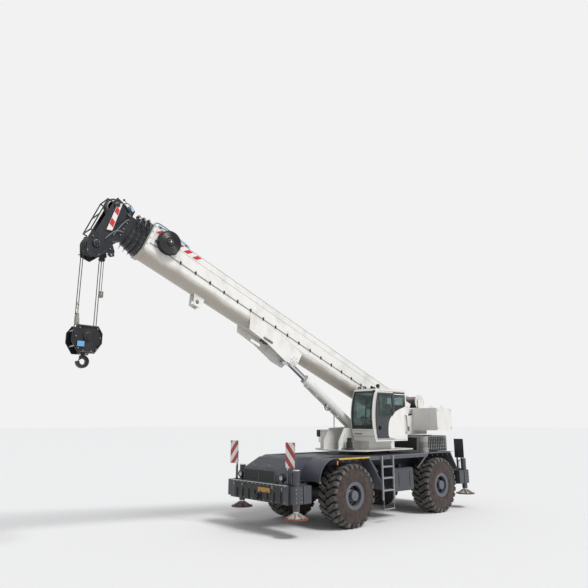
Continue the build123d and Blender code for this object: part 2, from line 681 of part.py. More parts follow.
with BuildPart() as turntable:
    with BuildSketch(Plane.XY.offset(RING_TOP)):
        with Locations((SLEW_X, 0)):
            Circle(SWING - 50)
        with Locations((SLEW_X - SWING, 0)):
            Rectangle(2 * (SWING - 1280), 2 * SWING, mode=Mode.SUBTRACT)
        for side in (-1, 1):
            with Locations((SLEW_X, side * SWING)):
                Rectangle(3 * SWING, 2 * (SWING - 1200), mode=Mode.SUBTRACT)
        with Locations((SLEW_X + 500, 0)):
            SlotOverall(1800, 520, mode=Mode.SUBTRACT)
    extrude(amount=FLOOR_PLATE)
    for side in (-1, 1):
        with BuildSketch(side_plane(side * CHEEK_INNER)):
            with BuildLine():
                Polyline(
                    (TABLE_FRONT - 60, FLOOR_TOP - 10),
                    (TABLE_FRONT - 60, 2480),
                    (SLEW_X + 1380, 2930),
                    (SLEW_X + 500, 2960),
                    (PIVOT_X + 260, PIVOT_Z + 200),
                    (PIVOT_X - 200, PIVOT_Z + 200),
                    (SLEW_X - 2880, 3450),
                    (SLEW_X - 2880, 4000),
                    (SLEW_X - 3200, 4000),
                    (SLEW_X - 3340, 3000),
                    (SLEW_X - 3340, OVER_HOOD),
                    (SLEW_X - 1280, OVER_HOOD),
                    (SLEW_X - 1280, FLOOR_TOP - 10),
                    close=True,
                )
            make_face()
            for name, drum_x, drum_z, flange in WINCHES:
                with Locations((drum_x, drum_z)):
                    Circle(WINCH_PIN + SEAT, mode=Mode.SUBTRACT)
        extrude(amount=-side * CHEEK_PLATE)
        with Locations((FOOT_X, side * (FOOT_GAP + FOOT_LUG) / 2, RING_TOP)):
            Box(180, FOOT_LUG, 2 * (FOOT_Z + 20 - RING_TOP))
        with Locations((FOOT_X, side * (FOOT_GAP / 2 + 150), FLOOR_TOP - FLOOR_PLATE / 2)):
            Box(280, 300, FLOOR_PLATE)
    with Locations((SLEW_X, 0, 0)):
        Box(2 * SWING, 2 * SWING, 2 * RING_TOP, mode=Mode.SUBTRACT)
    with BuildSketch(side_plane()):
        with Locations((PIVOT_X, PIVOT_Z)):
            Circle(80)
    extrude(amount=CHEEK_INNER + CHEEK_PLATE + 40, both=True)
    with Locations(
        ((CAB_BRACKET_BACK + CAB_BRACKET_FRONT) / 2, 650, (FLOOR_TOP + CAB_BOTTOM - SEAT) / 2)
    ):
        Box(CAB_BRACKET_FRONT - CAB_BRACKET_BACK, 600, CAB_BOTTOM - SEAT - FLOOR_TOP)
    with BuildSketch(side_plane(TILT_INNER)):
        with Locations((TILT_X, TILT_Z)):
            Circle(TILT_BOSS)
        with Locations((TILT_X + 30, TILT_Z - 40)):
            Rectangle(60, 2 * TILT_BOSS)
    extrude(amount=TILT_INNER - TILT_OUTER)
    with BuildSketch(side_plane(TILT_INNER - TILT_LUG)):
        with Locations((TILT_X, TILT_Z)):
            Circle(TILT_PIN)
    extrude(amount=TILT_INNER - TILT_OUTER - 2 * TILT_LUG)
    with Locations((SLEW_X + 1180, -560, (FLOOR_TOP + 2860) / 2)):
        Box(560, 340, 2860 - FLOOR_TOP)
    with Locations((SLEW_X + 1300, -830, 2450)):
        Box(24, 240, 24)
    with Locations((SLEW_X + 1300, -950, 2540)):
        Box(24, 24, 204)
    with Locations((SLEW_X + 1300, -950, 2740)):
        Box(24, 160, 240)
    with Locations((SLEW_X + 930, -560, 2890)):
        Box(30, 30, 1340)
turntable.part.label = "turntable"
export_step(turntable.part, "parts/turntable.step")

# Counterweight behind the turntable
CW_FRONT = SLEW_X - 2430.0
CW_BACK = SLEW_X - 3520.0
CW_HALF = 1500.0
CW_BOTTOM = 2830.0
CW_TOP = 3650.0
CW_INNER = CHEEK_INNER + CHEEK_PLATE
with BuildPart() as counterweight:
    with BuildSketch(Plane.XY.offset(CW_BOTTOM)):
        with BuildLine():
            Polyline(
                (CW_FRONT, CW_INNER),
                (CW_FRONT, CW_HALF),
                (CW_BACK + 120, CW_HALF),
                (CW_BACK, CW_HALF - 250),
                (CW_BACK, -CW_HALF + 250),
                (CW_BACK + 120, -CW_HALF),
                (CW_FRONT, -CW_HALF),
                (CW_FRONT, -CW_INNER),
                (CW_BACK + 160, -CW_INNER),
                (CW_BACK + 160, CW_INNER),
                close=True,
            )
        make_face()
    extrude(amount=CW_TOP - CW_BOTTOM)
counterweight.part.label = "counterweight"
export_step(counterweight.part, "parts/counterweight.step")

# Winches: two drums one above the other behind the pivot
DRUM_RADIUS = 190.0
for name, drum_x, drum_z, flange in WINCHES:
    with BuildPart() as drum:
        with BuildSketch(side_plane()):
            with Locations((drum_x, drum_z)):
                Circle(DRUM_RADIUS)
        extrude(amount=DRUM_HALF, both=True)
        with BuildSketch(side_plane()):
            with Locations((drum_x, drum_z)):
                Circle(WINCH_PIN)
        extrude(amount=CHEEK_INNER + CHEEK_PLATE - CLEAR, both=True)
        for side in (-1, 1):
            with BuildSketch(side_plane(side * DRUM_HALF)):
                with Locations((drum_x, drum_z)):
                    Circle(flange)
            extrude(amount=-side * 25)
    drum.part.label = f"{name}_winch_drum"
    export_step(drum.part, f"parts/{name}_winch_drum.step")

# Boom sections: flat sides and top over a round underside, each one a step smaller
def boom_outline(index, grow=0.0):
    """Section index's outer outline, grown by grow, as a flat face."""
    half = BOOM_WIDTH / 2 - index * STEP_WIDTH / 2 + grow
    low = BOOM_LOW + index * STEP_DEPTH / 2 - grow
    high = BOOM_HIGH - index * STEP_DEPTH / 2 + grow
    spring = low + 0.9 * half
    with BuildSketch() as outline:
        with BuildLine():
            Polyline((-half, spring), (-half, high), (half, high), (half, spring))
            ThreePointArc((half, spring), (0, low), (-half, spring))
        make_face()
    return outline.sketch


SECTIONS = 5
ROLLER_STAND = 180.0
ROLLER_RADIUS = 38.0
ROLLER_HALF = 70.0
for index in range(SECTIONS):
    tip = BOOM_TIP + index * STEP_TIP
    heel = BOOM_HEEL if index == 0 else SECTION_HEEL + index * 150
    with BuildPart() as section:
        with BuildSketch(boom_cut(heel)):
            add(boom_outline(index))
        extrude(amount=tip - heel)
        with BuildSketch(boom_cut(heel)):
            add(boom_outline(index, -BOOM_WALL))
        extrude(amount=tip - heel, mode=Mode.SUBTRACT)
        if index < SECTIONS - 1:
            with BuildSketch(boom_cut(tip)):
                add(boom_outline(index, 20 if index else 40))
            extrude(amount=-COLLAR)
            with BuildSketch(boom_cut(tip)):
                add(boom_outline(index + 1, SLIDE))
            extrude(amount=-COLLAR, mode=Mode.SUBTRACT)
        if 0 < index < SECTIONS - 1:
            high = BOOM_HIGH - index * STEP_DEPTH / 2
            with BuildSketch(boom_side()):
                with Locations((tip - COLLAR / 2, high + ROLLER_STAND / 2)):
                    Rectangle(30, ROLLER_STAND + 20)
            extrude(amount=ROLLER_HALF - 20, both=True)
            with BuildSketch(boom_side()):
                with Locations((tip - COLLAR / 2, high + ROLLER_STAND)):
                    Circle(ROLLER_RADIUS)
            extrude(amount=ROLLER_HALF, both=True)
        if index == 0:
            for side in (-1, 1):
                with BuildSketch(boom_side(side * BRACKET_HALF)):
                    with BuildLine():
                        Polyline(
                            (GUSSET_FRONT, 230),
                            (6750, 210),
                            (5620, 20),
                            (ROD_U - 200, ROD_V + 20),
                            (ROD_U - 110, ROD_V - 150),
                            (ROD_U + 370, ROD_V - 160),
                            (7080, BOOM_LOW - 150),
                            (7840, BOOM_LOW - 90),
                            close=True,
                        )
                    make_face()
                    with Locations((ROD_U, ROD_V)):
                        Circle(LUFF_PIN + SEAT, mode=Mode.SUBTRACT)
                    with Locations((7060, BOOM_LOW - 60)):
                        SlotOverall(420, 90, mode=Mode.SUBTRACT)
                extrude(amount=-side * BRACKET_PLATE)
                with BuildSketch(boom_side(side * CAMERA_HALF)):
                    with BuildLine():
                        Polyline(
                            (CAMERA_U - 200, BOOM_LOW + 60),
                            (CAMERA_U - 160, BOOM_LOW - 300),
                            (CAMERA_U + 90, BOOM_LOW - 300),
                            (CAMERA_U + 200, BOOM_LOW + 60),
                            close=True,
                        )
                    make_face()
                    with Locations((CAMERA_U, BOOM_LOW - 170)):
                        Circle(60, mode=Mode.SUBTRACT)
                extrude(amount=-side * 20)
            with BuildSketch(boom_side()):
                with Locations((CAMERA_U - 60, BOOM_LOW - 250)):
                    Rectangle(160, 60)
            extrude(amount=CAMERA_HALF, both=True)
            with BuildSketch(boom_cut(heel)):
                add(boom_outline(1, SLIDE + 5))
            extrude(amount=tip - heel - COLLAR, mode=Mode.SUBTRACT)
            with BuildSketch(boom_side()):
                Circle(80 + SEAT)
            extrude(amount=BOOM_WIDTH, both=True, mode=Mode.SUBTRACT)
    name = "boom_base" if index == 0 else f"boom_section_{index + 1}"
    section.part.label = name
    export_step(section.part, f"parts/{name}.step")

# Boom head on the fifth section: two side plates that carry the upper and lower sheaves
HEAD_U = BOOM_TIP + (SECTIONS - 1) * STEP_TIP
HEAD_HALF = 260.0
HEAD_PLATE = 24.0
LOWER_U = HEAD_U + 480.0
LOWER_V = -560.0
UPPER_U = HEAD_U + 480.0
UPPER_V = 690.0
SHEAVE_RADIUS = 230.0
SHEAVE_PIN = 50.0
GUARD_U = HEAD_U + 790.0  # bars that keep the ropes in the head's grooves
GUARD_BAR = 30.0
with BuildPart() as boom_head:
    for side in (-1, 1):
        with BuildSketch(boom_side(side * HEAD_HALF)):
            with BuildLine():
                Polyline(
                    (HEAD_U, 700),
                    (HEAD_U + 290, 840),
                    (HEAD_U + 580, 900),
                    (HEAD_U + 620, 700),
                    (HEAD_U + 640, -300),
                    (HEAD_U + 710, -360),
                    (HEAD_U + 710, -620),
                    (HEAD_U + 560, -900),
                    (HEAD_U + 290, -890),
                    (HEAD_U + 150, -640),
                    (HEAD_U - 30, -560),
                    (HEAD_U - 30, -490),
                    (HEAD_U + 150, -300),
                    (HEAD_U, -200),
                    close=True,
                )
            make_face()
        extrude(amount=side * HEAD_PLATE)
    with BuildSketch(boom_cut(HEAD_U)):
        with Locations((0, 350)):
            Rectangle(2 * HEAD_HALF, 1000)
    extrude(amount=30)
    with BuildSketch(boom_side()):
        for u, v in ((LOWER_U, LOWER_V), (UPPER_U, UPPER_V)):
            with Locations((u, v)):
                Circle(SHEAVE_PIN)
    extrude(amount=HEAD_HALF, both=True)
    for side in (-1, 1):
        with BuildSketch(boom_side(side * HEAD_HALF)):
            with BuildLine():
                Polyline(
                    (HEAD_U + 600, 720),
                    (GUARD_U, 720),
                    (GUARD_U, -320),
                    (HEAD_U + 660, -320),
                    (HEAD_U + 660, -320 + GUARD_BAR),
                    (GUARD_U - GUARD_BAR, -320 + GUARD_BAR),
                    (GUARD_U - GUARD_BAR, 720 - GUARD_BAR),
                    (HEAD_U + 600, 720 - GUARD_BAR),
                    close=True,
                )
            make_face()
        extrude(amount=side * HEAD_PLATE)
    with BuildSketch(boom_side()):
        for v in (720 - GUARD_BAR / 2, 200, GUARD_BAR / 2 - 320):
            with Locations((GUARD_U - GUARD_BAR / 2, v)):
                Rectangle(GUARD_BAR, GUARD_BAR)
        with Locations((HEAD_U + 300, 330), (HEAD_U + 420, -80)):
            Circle(45)
    extrude(amount=HEAD_HALF, both=True)
boom_head.part.label = "boom_head"
export_step(boom_head.part, "parts/boom_head.step")

SHEAVE_PITCH = 80.0
ROPED = (1, 3)  # the sheaves that this reeving uses, out of five
ROPE_RADIUS = 11.0
SHEAVE_WIDTH = 56.0
GROOVE = 26.0  # how deep the rope lies in a sheave


def sheave_half():
    """Half of a sheave's section, to be turned round the Y axis."""
    half = SHEAVE_WIDTH / 2
    with BuildSketch() as outline:
        with BuildLine():
            Polyline(
                (-half, SHEAVE_PIN + SEAT),
                (-half, SHEAVE_RADIUS + GROOVE),
                (8 - half, SHEAVE_RADIUS + GROOVE),
                (-ROPE_RADIUS, SHEAVE_RADIUS),
                (ROPE_RADIUS, SHEAVE_RADIUS),
                (half - 8, SHEAVE_RADIUS + GROOVE),
                (half, SHEAVE_RADIUS + GROOVE),
                (half, SHEAVE_PIN + SEAT),
                close=True,
            )
        make_face()
    return outline.sketch


with BuildPart() as head_sheaves:
    for u, v, count in ((LOWER_U, LOWER_V, 5), (UPPER_U, UPPER_V, 2)):
        for row in range(count):
            sheave_y = (row - (count - 1) / 2) * SHEAVE_PITCH
            centre = boom_point(u, v)
            with BuildPart(mode=Mode.PRIVATE) as wheel:
                with BuildSketch(Plane.YZ):
                    add(sheave_half())
                revolve(axis=Axis.Y)
            add(Pos(centre[0], sheave_y, centre[1]) * wheel.part)
head_sheaves.part.label = "head_sheaves"
export_step(head_sheaves.part, "parts/head_sheaves.step")

# Hook block hanging from the lower head sheaves
HANG_X, HANG_Z = boom_point(LOWER_U, LOWER_V)
BLOCK_TOP = 5440.0
BLOCK_BOTTOM = 4750.0
BLOCK_Z = 5160.0
BLOCK_HALF = 230.0
with BuildPart() as hoist_ropes:
    for row in ROPED:
        rope_y = (row - 2) * SHEAVE_PITCH
        for side in (-1, 1):
            with BuildSketch(Plane.XY.offset(BLOCK_Z)):
                with Locations((HANG_X + side * (SHEAVE_RADIUS + ROPE_RADIUS + SEAT), rope_y)):
                    Circle(ROPE_RADIUS)
            extrude(amount=HANG_Z - BLOCK_Z)
hoist_ropes.part.label = "hoist_ropes"
export_step(hoist_ropes.part, "parts/hoist_ropes.step")

with BuildPart() as hook_block:
    for side in (-1, 1):
        with BuildSketch(side_plane(side * BLOCK_HALF)):
            with BuildLine():
                Polyline(
                    (HANG_X - 250, BLOCK_TOP),
                    (HANG_X + 250, BLOCK_TOP),
                    (HANG_X + 370, BLOCK_TOP - 180),
                    (HANG_X + 370, BLOCK_BOTTOM + 260),
                    (HANG_X + 200, BLOCK_BOTTOM),
                    (HANG_X - 200, BLOCK_BOTTOM),
                    (HANG_X - 370, BLOCK_BOTTOM + 260),
                    (HANG_X - 370, BLOCK_TOP - 180),
                    close=True,
                )
            make_face()
        extrude(amount=side * 30)
    with BuildSketch(side_plane()):
        with Locations((HANG_X, BLOCK_Z)):
            Circle(SHEAVE_PIN)
    extrude(amount=BLOCK_HALF, both=True)
    with Locations((HANG_X, 0, BLOCK_BOTTOM + 45)):
        Box(200, 2 * BLOCK_HALF, 90)
        Cylinder(48 + SEAT, 200, mode=Mode.SUBTRACT)
hook_block.part.label = "hook_block"
export_step(hook_block.part, "parts/hook_block.step")

with BuildPart() as block_sheaves:
    for row in range(5):
        sheave_y = (row - 2) * SHEAVE_PITCH
        with BuildPart(mode=Mode.PRIVATE) as wheel:
            with BuildSketch(Plane.YZ):
                add(sheave_half())
            revolve(axis=Axis.Y)
        add(Pos(HANG_X, sheave_y, BLOCK_Z) * wheel.part)
block_sheaves.part.label = "block_sheaves"
export_step(block_sheaves.part, "parts/block_sheaves.step")

with BuildPart() as hook:
    with BuildSketch(Plane.XY.offset(BLOCK_BOTTOM - 60)):
        with Locations((HANG_X, 0)):
            Circle(48)
    extrude(amount=200)
    with BuildSketch(Plane.XY.offset(BLOCK_BOTTOM + 90 + SEAT)):
        with Locations((HANG_X, 0)):
            Circle(80)
    extrude(amount=50)
    with BuildSketch(side_plane()):
        with Locations((HANG_X, BLOCK_BOTTOM - 190)):
            Circle(160)
            Circle(75, mode=Mode.SUBTRACT)
        with Locations((HANG_X + 130, BLOCK_BOTTOM - 110)):
            Rectangle(120, 150, mode=Mode.SUBTRACT)
    extrude(amount=45, both=True)
hook.part.label = "hook"
export_step(hook.part, "parts/hook.step")

# Luffing cylinder: rod eye on the boom's bracket, barrel foot between the turntable's lugs
ROD_X, ROD_Z = boom_point(ROD_U, ROD_V)
LUFF_LENGTH = ((ROD_X - FOOT_X) ** 2 + (ROD_Z - FOOT_Z) ** 2) ** 0.5
LUFF_PLANE = Plane(
    origin=(FOOT_X, 0, FOOT_Z), x_dir=(0, 1, 0), z_dir=(ROD_X - FOOT_X, 0, ROD_Z - FOOT_Z)
)
BARREL_RADIUS = 150.0
BARREL_WALL = 22.0
BARREL_LENGTH = 3120.0
BARREL_HEAD = 210.0
BARREL_GLAND = 100.0
ROD_INNER = 1000.0  # rod's inner end from the foot, at rest
LUFF_ROD = 90.0
EYE = 115.0
with BuildPart() as luff_barrel:
    with BuildSketch(LUFF_PLANE):
        Circle(BARREL_RADIUS)
    extrude(amount=BARREL_LENGTH)
    with BuildSketch(LUFF_PLANE.offset(BARREL_HEAD)):
        Circle(BARREL_RADIUS - BARREL_WALL)
    extrude(amount=BARREL_LENGTH, mode=Mode.SUBTRACT)
    with BuildSketch(LUFF_PLANE.offset(BARREL_LENGTH - BARREL_GLAND)):
        Circle(BARREL_RADIUS)
        Circle(LUFF_ROD + SEAT, mode=Mode.SUBTRACT)
    extrude(amount=BARREL_GLAND)
    with BuildSketch(LUFF_PLANE):
        Rectangle(2 * BARREL_RADIUS + 20, 2 * BARREL_RADIUS + 20)
        Rectangle(FOOT_GAP - 20, 2 * BARREL_RADIUS + 20, mode=Mode.SUBTRACT)
    extrude(amount=BARREL_HEAD - 10, both=True, mode=Mode.SUBTRACT)
    with BuildSketch(side_plane()):
        with Locations((FOOT_X, FOOT_Z)):
            Circle(EYE)
            Circle(50, mode=Mode.SUBTRACT)
    extrude(amount=(FOOT_GAP - 20) / 2, both=True)
luff_barrel.part.label = "luff_barrel"
export_step(luff_barrel.part, "parts/luff_barrel.step")

with BuildPart() as luff_rod:
    with BuildSketch(LUFF_PLANE.offset(ROD_INNER)):
        Circle(LUFF_ROD)
    extrude(amount=LUFF_LENGTH - ROD_INNER)
    with BuildSketch(side_plane()):
        with Locations((ROD_X, ROD_Z)):
            Circle(EYE)
    extrude(amount=EYE, both=True)
    with BuildSketch(side_plane()):
        with Locations((ROD_X, ROD_Z)):
            Circle(LUFF_PIN)
    extrude(amount=BRACKET_HALF + BRACKET_PLATE, both=True)
luff_rod.part.label = "luff_rod"
export_step(luff_rod.part, "parts/luff_rod.step")

# Cab: hollow shell with a bulging front, its windows cut through the wall
CAB_INNER = 440.0
CAB_OUTER = 1420.0
CAB_WALL = 40.0
CAB_TOP = 4230.0
CAB_BACK = SLEW_X - 700.0
CAB_FRONT = SLEW_X + 980.0
CAB_BELLY = SLEW_X + 1130.0
CAB_ROUND = 90.0


def cab_body(inset):
    """The cab's outer form pulled in by inset, as a closed solid."""
    with BuildPart() as body:
        with BuildSketch(side_plane(CAB_INNER + inset)):
            with BuildLine():
                Polyline(
                    (CAB_FRONT - 80, CAB_TOP),
                    (CAB_BACK + 80, CAB_TOP),
                    (CAB_BACK, CAB_TOP - 120),
                    (CAB_BACK, CAB_BOTTOM),
                    (CAB_FRONT, CAB_BOTTOM),
                )
                ThreePointArc(
                    (CAB_FRONT, CAB_BOTTOM), (CAB_BELLY, 3200), (CAB_FRONT - 80, CAB_TOP)
                )
            make_face()
            if inset:
                offset(amount=-inset, kind=Kind.INTERSECTION, mode=Mode.REPLACE)
        extrude(amount=-(CAB_OUTER - CAB_INNER - 2 * inset))
    return body.part


DOOR_FRONT = SLEW_X + 900.0
DOOR_BACK = SLEW_X + 20.0
DOOR_WAIST = 3190.0
DOOR_TOP = 4100.0
DOOR_LOW = 2600.0
CAB_WINDOWS = [  # x from, x to, y from, y to, z from, z to
    (CAB_FRONT - 250, CAB_BELLY + 100, CAB_INNER + 90, CAB_OUTER - 90, 3010, 4120),
    (CAB_FRONT - 900, CAB_FRONT - 260, CAB_INNER + 120, CAB_OUTER - 120, 4000, CAB_TOP + 50),
    (CAB_BACK + 110, DOOR_BACK - 60, CAB_OUTER - 100, CAB_OUTER + 50, 3700, 4080),
    (CAB_BACK - 50, CAB_BACK + 100, CAB_INNER + 120, CAB_OUTER - 120, 3450, 4000),
    (CAB_BACK + 150, CAB_FRONT - 120, CAB_INNER - 50, CAB_INNER + 100, 3250, 4060),
]


def window_boxes(shrink):
    """Cutters for the cab's windows, each smaller by shrink on every side."""
    with BuildPart() as cutters:
        for x0, x1, y0, y1, z0, z1 in CAB_WINDOWS:
            with Locations(((x0 + x1) / 2, (y0 + y1) / 2, (z0 + z1) / 2)):
                Box(x1 - x0 - 2 * shrink, y1 - y0 - 2 * shrink, z1 - z0 - 2 * shrink)
    return cutters.part


with BuildPart() as cab_shell:
    add(cab_body(0))
    add(cab_body(CAB_WALL), mode=Mode.SUBTRACT)
    add(window_boxes(0), mode=Mode.SUBTRACT)
    with Locations(
        (
            (DOOR_FRONT + DOOR_BACK) / 2,
            CAB_OUTER - CAB_WALL / 2,
            (DOOR_TOP + DOOR_LOW) / 2,
        )
    ):
        Box(
            DOOR_FRONT - DOOR_BACK - 120,
            3 * CAB_WALL,
            DOOR_TOP - DOOR_LOW - 120,
            mode=Mode.SUBTRACT,
        )
    for rail_z in (DOOR_TOP - 30, DOOR_LOW + 20):
        with Locations(
            ((CAB_BACK + DOOR_FRONT) / 2, CAB_OUTER + (CLEAR - SEAT) / 2, rail_z)
        ):
            Box(DOOR_FRONT - CAB_BACK - 120, CLEAR - SEAT, 30)
    for y in (TILT_INNER - TILT_LUG, TILT_OUTER + CLEAR / 2):
        with BuildSketch(side_plane(y)):
            with Locations((TILT_X, TILT_Z)):
                Circle(TILT_BOSS)
            with Locations((TILT_X, (TILT_Z + CAB_BOTTOM + 10) / 2)):
                Rectangle(2 * TILT_BOSS, CAB_BOTTOM + 10 - TILT_Z)
            with Locations((TILT_X, TILT_Z)):
                Circle(TILT_PIN + SEAT, mode=Mode.SUBTRACT)
        extrude(amount=CLEAR / 2 - TILT_LUG)
cab_shell.part.label = "cab_shell"
export_step(cab_shell.part, "parts/cab_shell.step")

with BuildPart() as cab_glass:
    add(cab_body(14))
    add(cab_body(20), mode=Mode.SUBTRACT)
    add(window_boxes(SEAT), mode=Mode.INTERSECT)
cab_glass.part.label = "cab_glass"
export_step(cab_glass.part, "parts/cab_glass.step")

DOOR_PLATE = 34.0
with BuildPart() as cab_door:
    with BuildSketch(side_plane(CAB_OUTER + CLEAR)):
        with BuildLine():
            Polyline(
                (DOOR_FRONT - 60, DOOR_TOP),
                (DOOR_BACK, DOOR_TOP),
                (DOOR_BACK, 3450),
                (DOOR_BACK + 320, DOOR_WAIST - 100),
                (DOOR_BACK + 320, DOOR_LOW),
                (DOOR_FRONT, DOOR_LOW),
            )
            ThreePointArc(
                (DOOR_FRONT, DOOR_LOW), (DOOR_FRONT + 90, 3200), (DOOR_FRONT - 60, DOOR_TOP)
            )
        make_face()
        with Locations(((DOOR_FRONT + DOOR_BACK) / 2 + 20, (DOOR_TOP + DOOR_WAIST) / 2 + 40)):
            Rectangle(DOOR_FRONT - DOOR_BACK - 180, DOOR_TOP - DOOR_WAIST - 200, mode=Mode.SUBTRACT)
    extrude(amount=-DOOR_PLATE)
cab_door.part.label = "cab_door"
export_step(cab_door.part, "parts/cab_door.step")

with BuildPart() as door_glass:
    with BuildSketch(side_plane(CAB_OUTER + CLEAR + DOOR_PLATE / 2)):
        with Locations(((DOOR_FRONT + DOOR_BACK) / 2 + 20, (DOOR_TOP + DOOR_WAIST) / 2 + 40)):
            Rectangle(
                DOOR_FRONT - DOOR_BACK - 180 - 2 * SEAT,
                DOOR_TOP - DOOR_WAIST - 200 - 2 * SEAT,
            )
    extrude(amount=3, both=True)
door_glass.part.label = "door_glass"
export_step(door_glass.part, "parts/door_glass.step")

# Operator's seat, and the control console ahead of it
with BuildPart() as seat_and_console:
    with Locations((SLEW_X - 50, 930, CAB_BOTTOM + CAB_WALL + 190)):
        Box(300, 300, 380)
    with Locations((SLEW_X - 20, 930, CAB_BOTTOM + CAB_WALL + 440)):
        Box(520, 520, 120)
    with Locations((SLEW_X - 280, 930, CAB_BOTTOM + CAB_WALL + 800)):
        Box(120, 500, 800)
    with Locations((SLEW_X + 760, 930, CAB_BOTTOM + CAB_WALL + 300)):
        Box(200, 500, 600)
    with Locations((SLEW_X + 560, 930, CAB_BOTTOM + CAB_WALL + 660)):
        Cylinder(190, 30)
        Cylinder(30, 120)
    with Locations((SLEW_X + 640, 930, CAB_BOTTOM + CAB_WALL + 580)):
        Box(240, 60, 60)
seat_and_console.part.label = "seat_and_console"
export_step(seat_and_console.part, "parts/seat_and_console.step")

# Hazard boards on posts at the four corners, and lamps
BOARD_WIDTH = 400.0
BOARD_HEIGHT = 700.0
BOARD_PLATE = 12.0
BOARDS = [  # x of the board, y of its middle, bottom edge
    (FRONT_X + 2400.0, 1360.0, 1850.0),
    (FRONT_X + 2400.0, -1360.0, 1850.0),
    (REAR_X - 1680.0, 1360.0, 1800.0),
    (REAR_X - 1680.0, -1360.0, 1800.0),
]
with BuildPart() as hazard_boards:
    for board_x, board_y, board_z in BOARDS:
        with Locations((board_x, board_y, board_z + BOARD_HEIGHT / 2)):
            Box(BOARD_PLATE, BOARD_WIDTH, BOARD_HEIGHT)
        inner_y = board_y - 120 if board_y > 0 else board_y + 120
        with Locations((board_x - 31, inner_y, (NOSE_LOW + board_z + 400) / 2)):
            Box(50, 50, board_z + 400 - NOSE_LOW)
hazard_boards.part.label = "hazard_boards"
export_step(hazard_boards.part, "parts/hazard_boards.step")

LAMP_RADIUS = 110.0
with BuildPart() as head_lamps:
    for side in (-1, 1):
        with BuildSketch(Plane.YZ.offset(NOSE_FRONT - 160)):
            with Locations((side * 980, 1560)):
                Circle(LAMP_RADIUS)
        extrude(amount=120)
        with Locations((NOSE_FRONT - 110, side * 980, (NOSE_LOW + 1560) / 2)):
            Box(40, 40, 1560 - NOSE_LOW)
head_lamps.part.label = "head_lamps"
export_step(head_lamps.part, "parts/head_lamps.step")

# Hose reel on the boom's left side near its tip
REEL_U = 11320.0
REEL_V = 560.0
REEL_RADIUS = 330.0
with BuildPart() as hose_reel:
    with BuildSketch(boom_side(BOOM_WIDTH / 2)):
        with Locations((REEL_U, REEL_V)):
            Circle(120)
    extrude(amount=-60)
    with BuildSketch(boom_side(BOOM_WIDTH / 2 + 60)):
        with Locations((REEL_U, REEL_V)):
            Circle(REEL_RADIUS)
    extrude(amount=-120)
hose_reel.part.label = "hose_reel"
export_step(hose_reel.part, "parts/hose_reel.step")

# Hoist limit weight: hangs from an arm on the lower sheave pin
WEIGHT_X = HANG_X - 345.0
WEIGHT_Z = 6380.0
with BuildPart() as hoist_limit_weight:
    with BuildSketch(side_plane(-SHEAVE_PITCH / 2)):
        with Locations((HANG_X, HANG_Z)):
            Circle(80)
        with Locations(((HANG_X + WEIGHT_X) / 2, HANG_Z + 60)):
            Rectangle(HANG_X - WEIGHT_X + 40, 40)
        with Locations((HANG_X, HANG_Z)):
            Circle(SHEAVE_PIN + SEAT, mode=Mode.SUBTRACT)
    extrude(amount=5, both=True)
    with BuildSketch(Plane.XY.offset(WEIGHT_Z)):
        with Locations((WEIGHT_X, -SHEAVE_PITCH / 2)):
            Circle(8)
    extrude(amount=HANG_Z + 60 - WEIGHT_Z)
    with Locations((WEIGHT_X, -SHEAVE_PITCH / 2, WEIGHT_Z - 60)):
        Cylinder(50, 160)
hoist_limit_weight.part.label = "hoist_limit_weight"
export_step(hoist_limit_weight.part, "parts/hoist_limit_weight.step")

# Main hoist rope along the boom's top
GUIDE_U = 1000.0
ROPE_V = BOOM_HIGH + 110.0
with BuildPart() as boom_rope:
    with BuildSketch(boom_cut(GUIDE_U)):
        with Locations((0, ROPE_V - 3 * ROPE_RADIUS)):
            Circle(ROPE_RADIUS)
    extrude(amount=BOOM_TIP - GUIDE_U)
    for u in (GUIDE_U + 60, BOOM_TIP / 2, BOOM_TIP - COLLAR - 100):
        with BuildSketch(boom_cut(u)):
            with Locations((0, (BOOM_HIGH + ROPE_V) / 2)):
                Rectangle(160, ROPE_V - BOOM_HIGH)
        extrude(amount=50)
boom_rope.part.label = "boom_rope"
export_step(boom_rope.part, "parts/boom_rope.step")
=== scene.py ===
import json
import math

import bmesh
import bpy
from mathutils import Matrix, Vector


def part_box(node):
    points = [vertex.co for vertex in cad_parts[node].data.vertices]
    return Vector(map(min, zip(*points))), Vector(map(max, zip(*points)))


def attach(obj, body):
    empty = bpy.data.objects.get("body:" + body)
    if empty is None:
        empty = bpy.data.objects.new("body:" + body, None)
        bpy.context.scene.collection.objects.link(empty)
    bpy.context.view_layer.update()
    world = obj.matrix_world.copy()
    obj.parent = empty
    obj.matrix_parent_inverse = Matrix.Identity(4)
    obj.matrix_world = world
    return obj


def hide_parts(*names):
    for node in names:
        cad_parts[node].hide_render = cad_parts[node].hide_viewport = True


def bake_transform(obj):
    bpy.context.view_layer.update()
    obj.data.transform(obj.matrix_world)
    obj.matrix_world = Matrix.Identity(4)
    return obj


# A rough terrain crane dressed for a studio picture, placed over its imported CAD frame.
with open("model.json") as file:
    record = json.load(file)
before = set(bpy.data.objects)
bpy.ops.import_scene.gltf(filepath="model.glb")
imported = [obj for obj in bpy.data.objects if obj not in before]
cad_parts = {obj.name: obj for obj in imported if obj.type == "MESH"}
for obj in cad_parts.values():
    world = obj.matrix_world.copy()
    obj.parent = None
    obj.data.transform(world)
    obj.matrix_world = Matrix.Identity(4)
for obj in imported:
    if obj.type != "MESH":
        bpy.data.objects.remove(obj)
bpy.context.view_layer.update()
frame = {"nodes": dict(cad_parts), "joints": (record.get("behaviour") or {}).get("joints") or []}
scene = bpy.context.scene

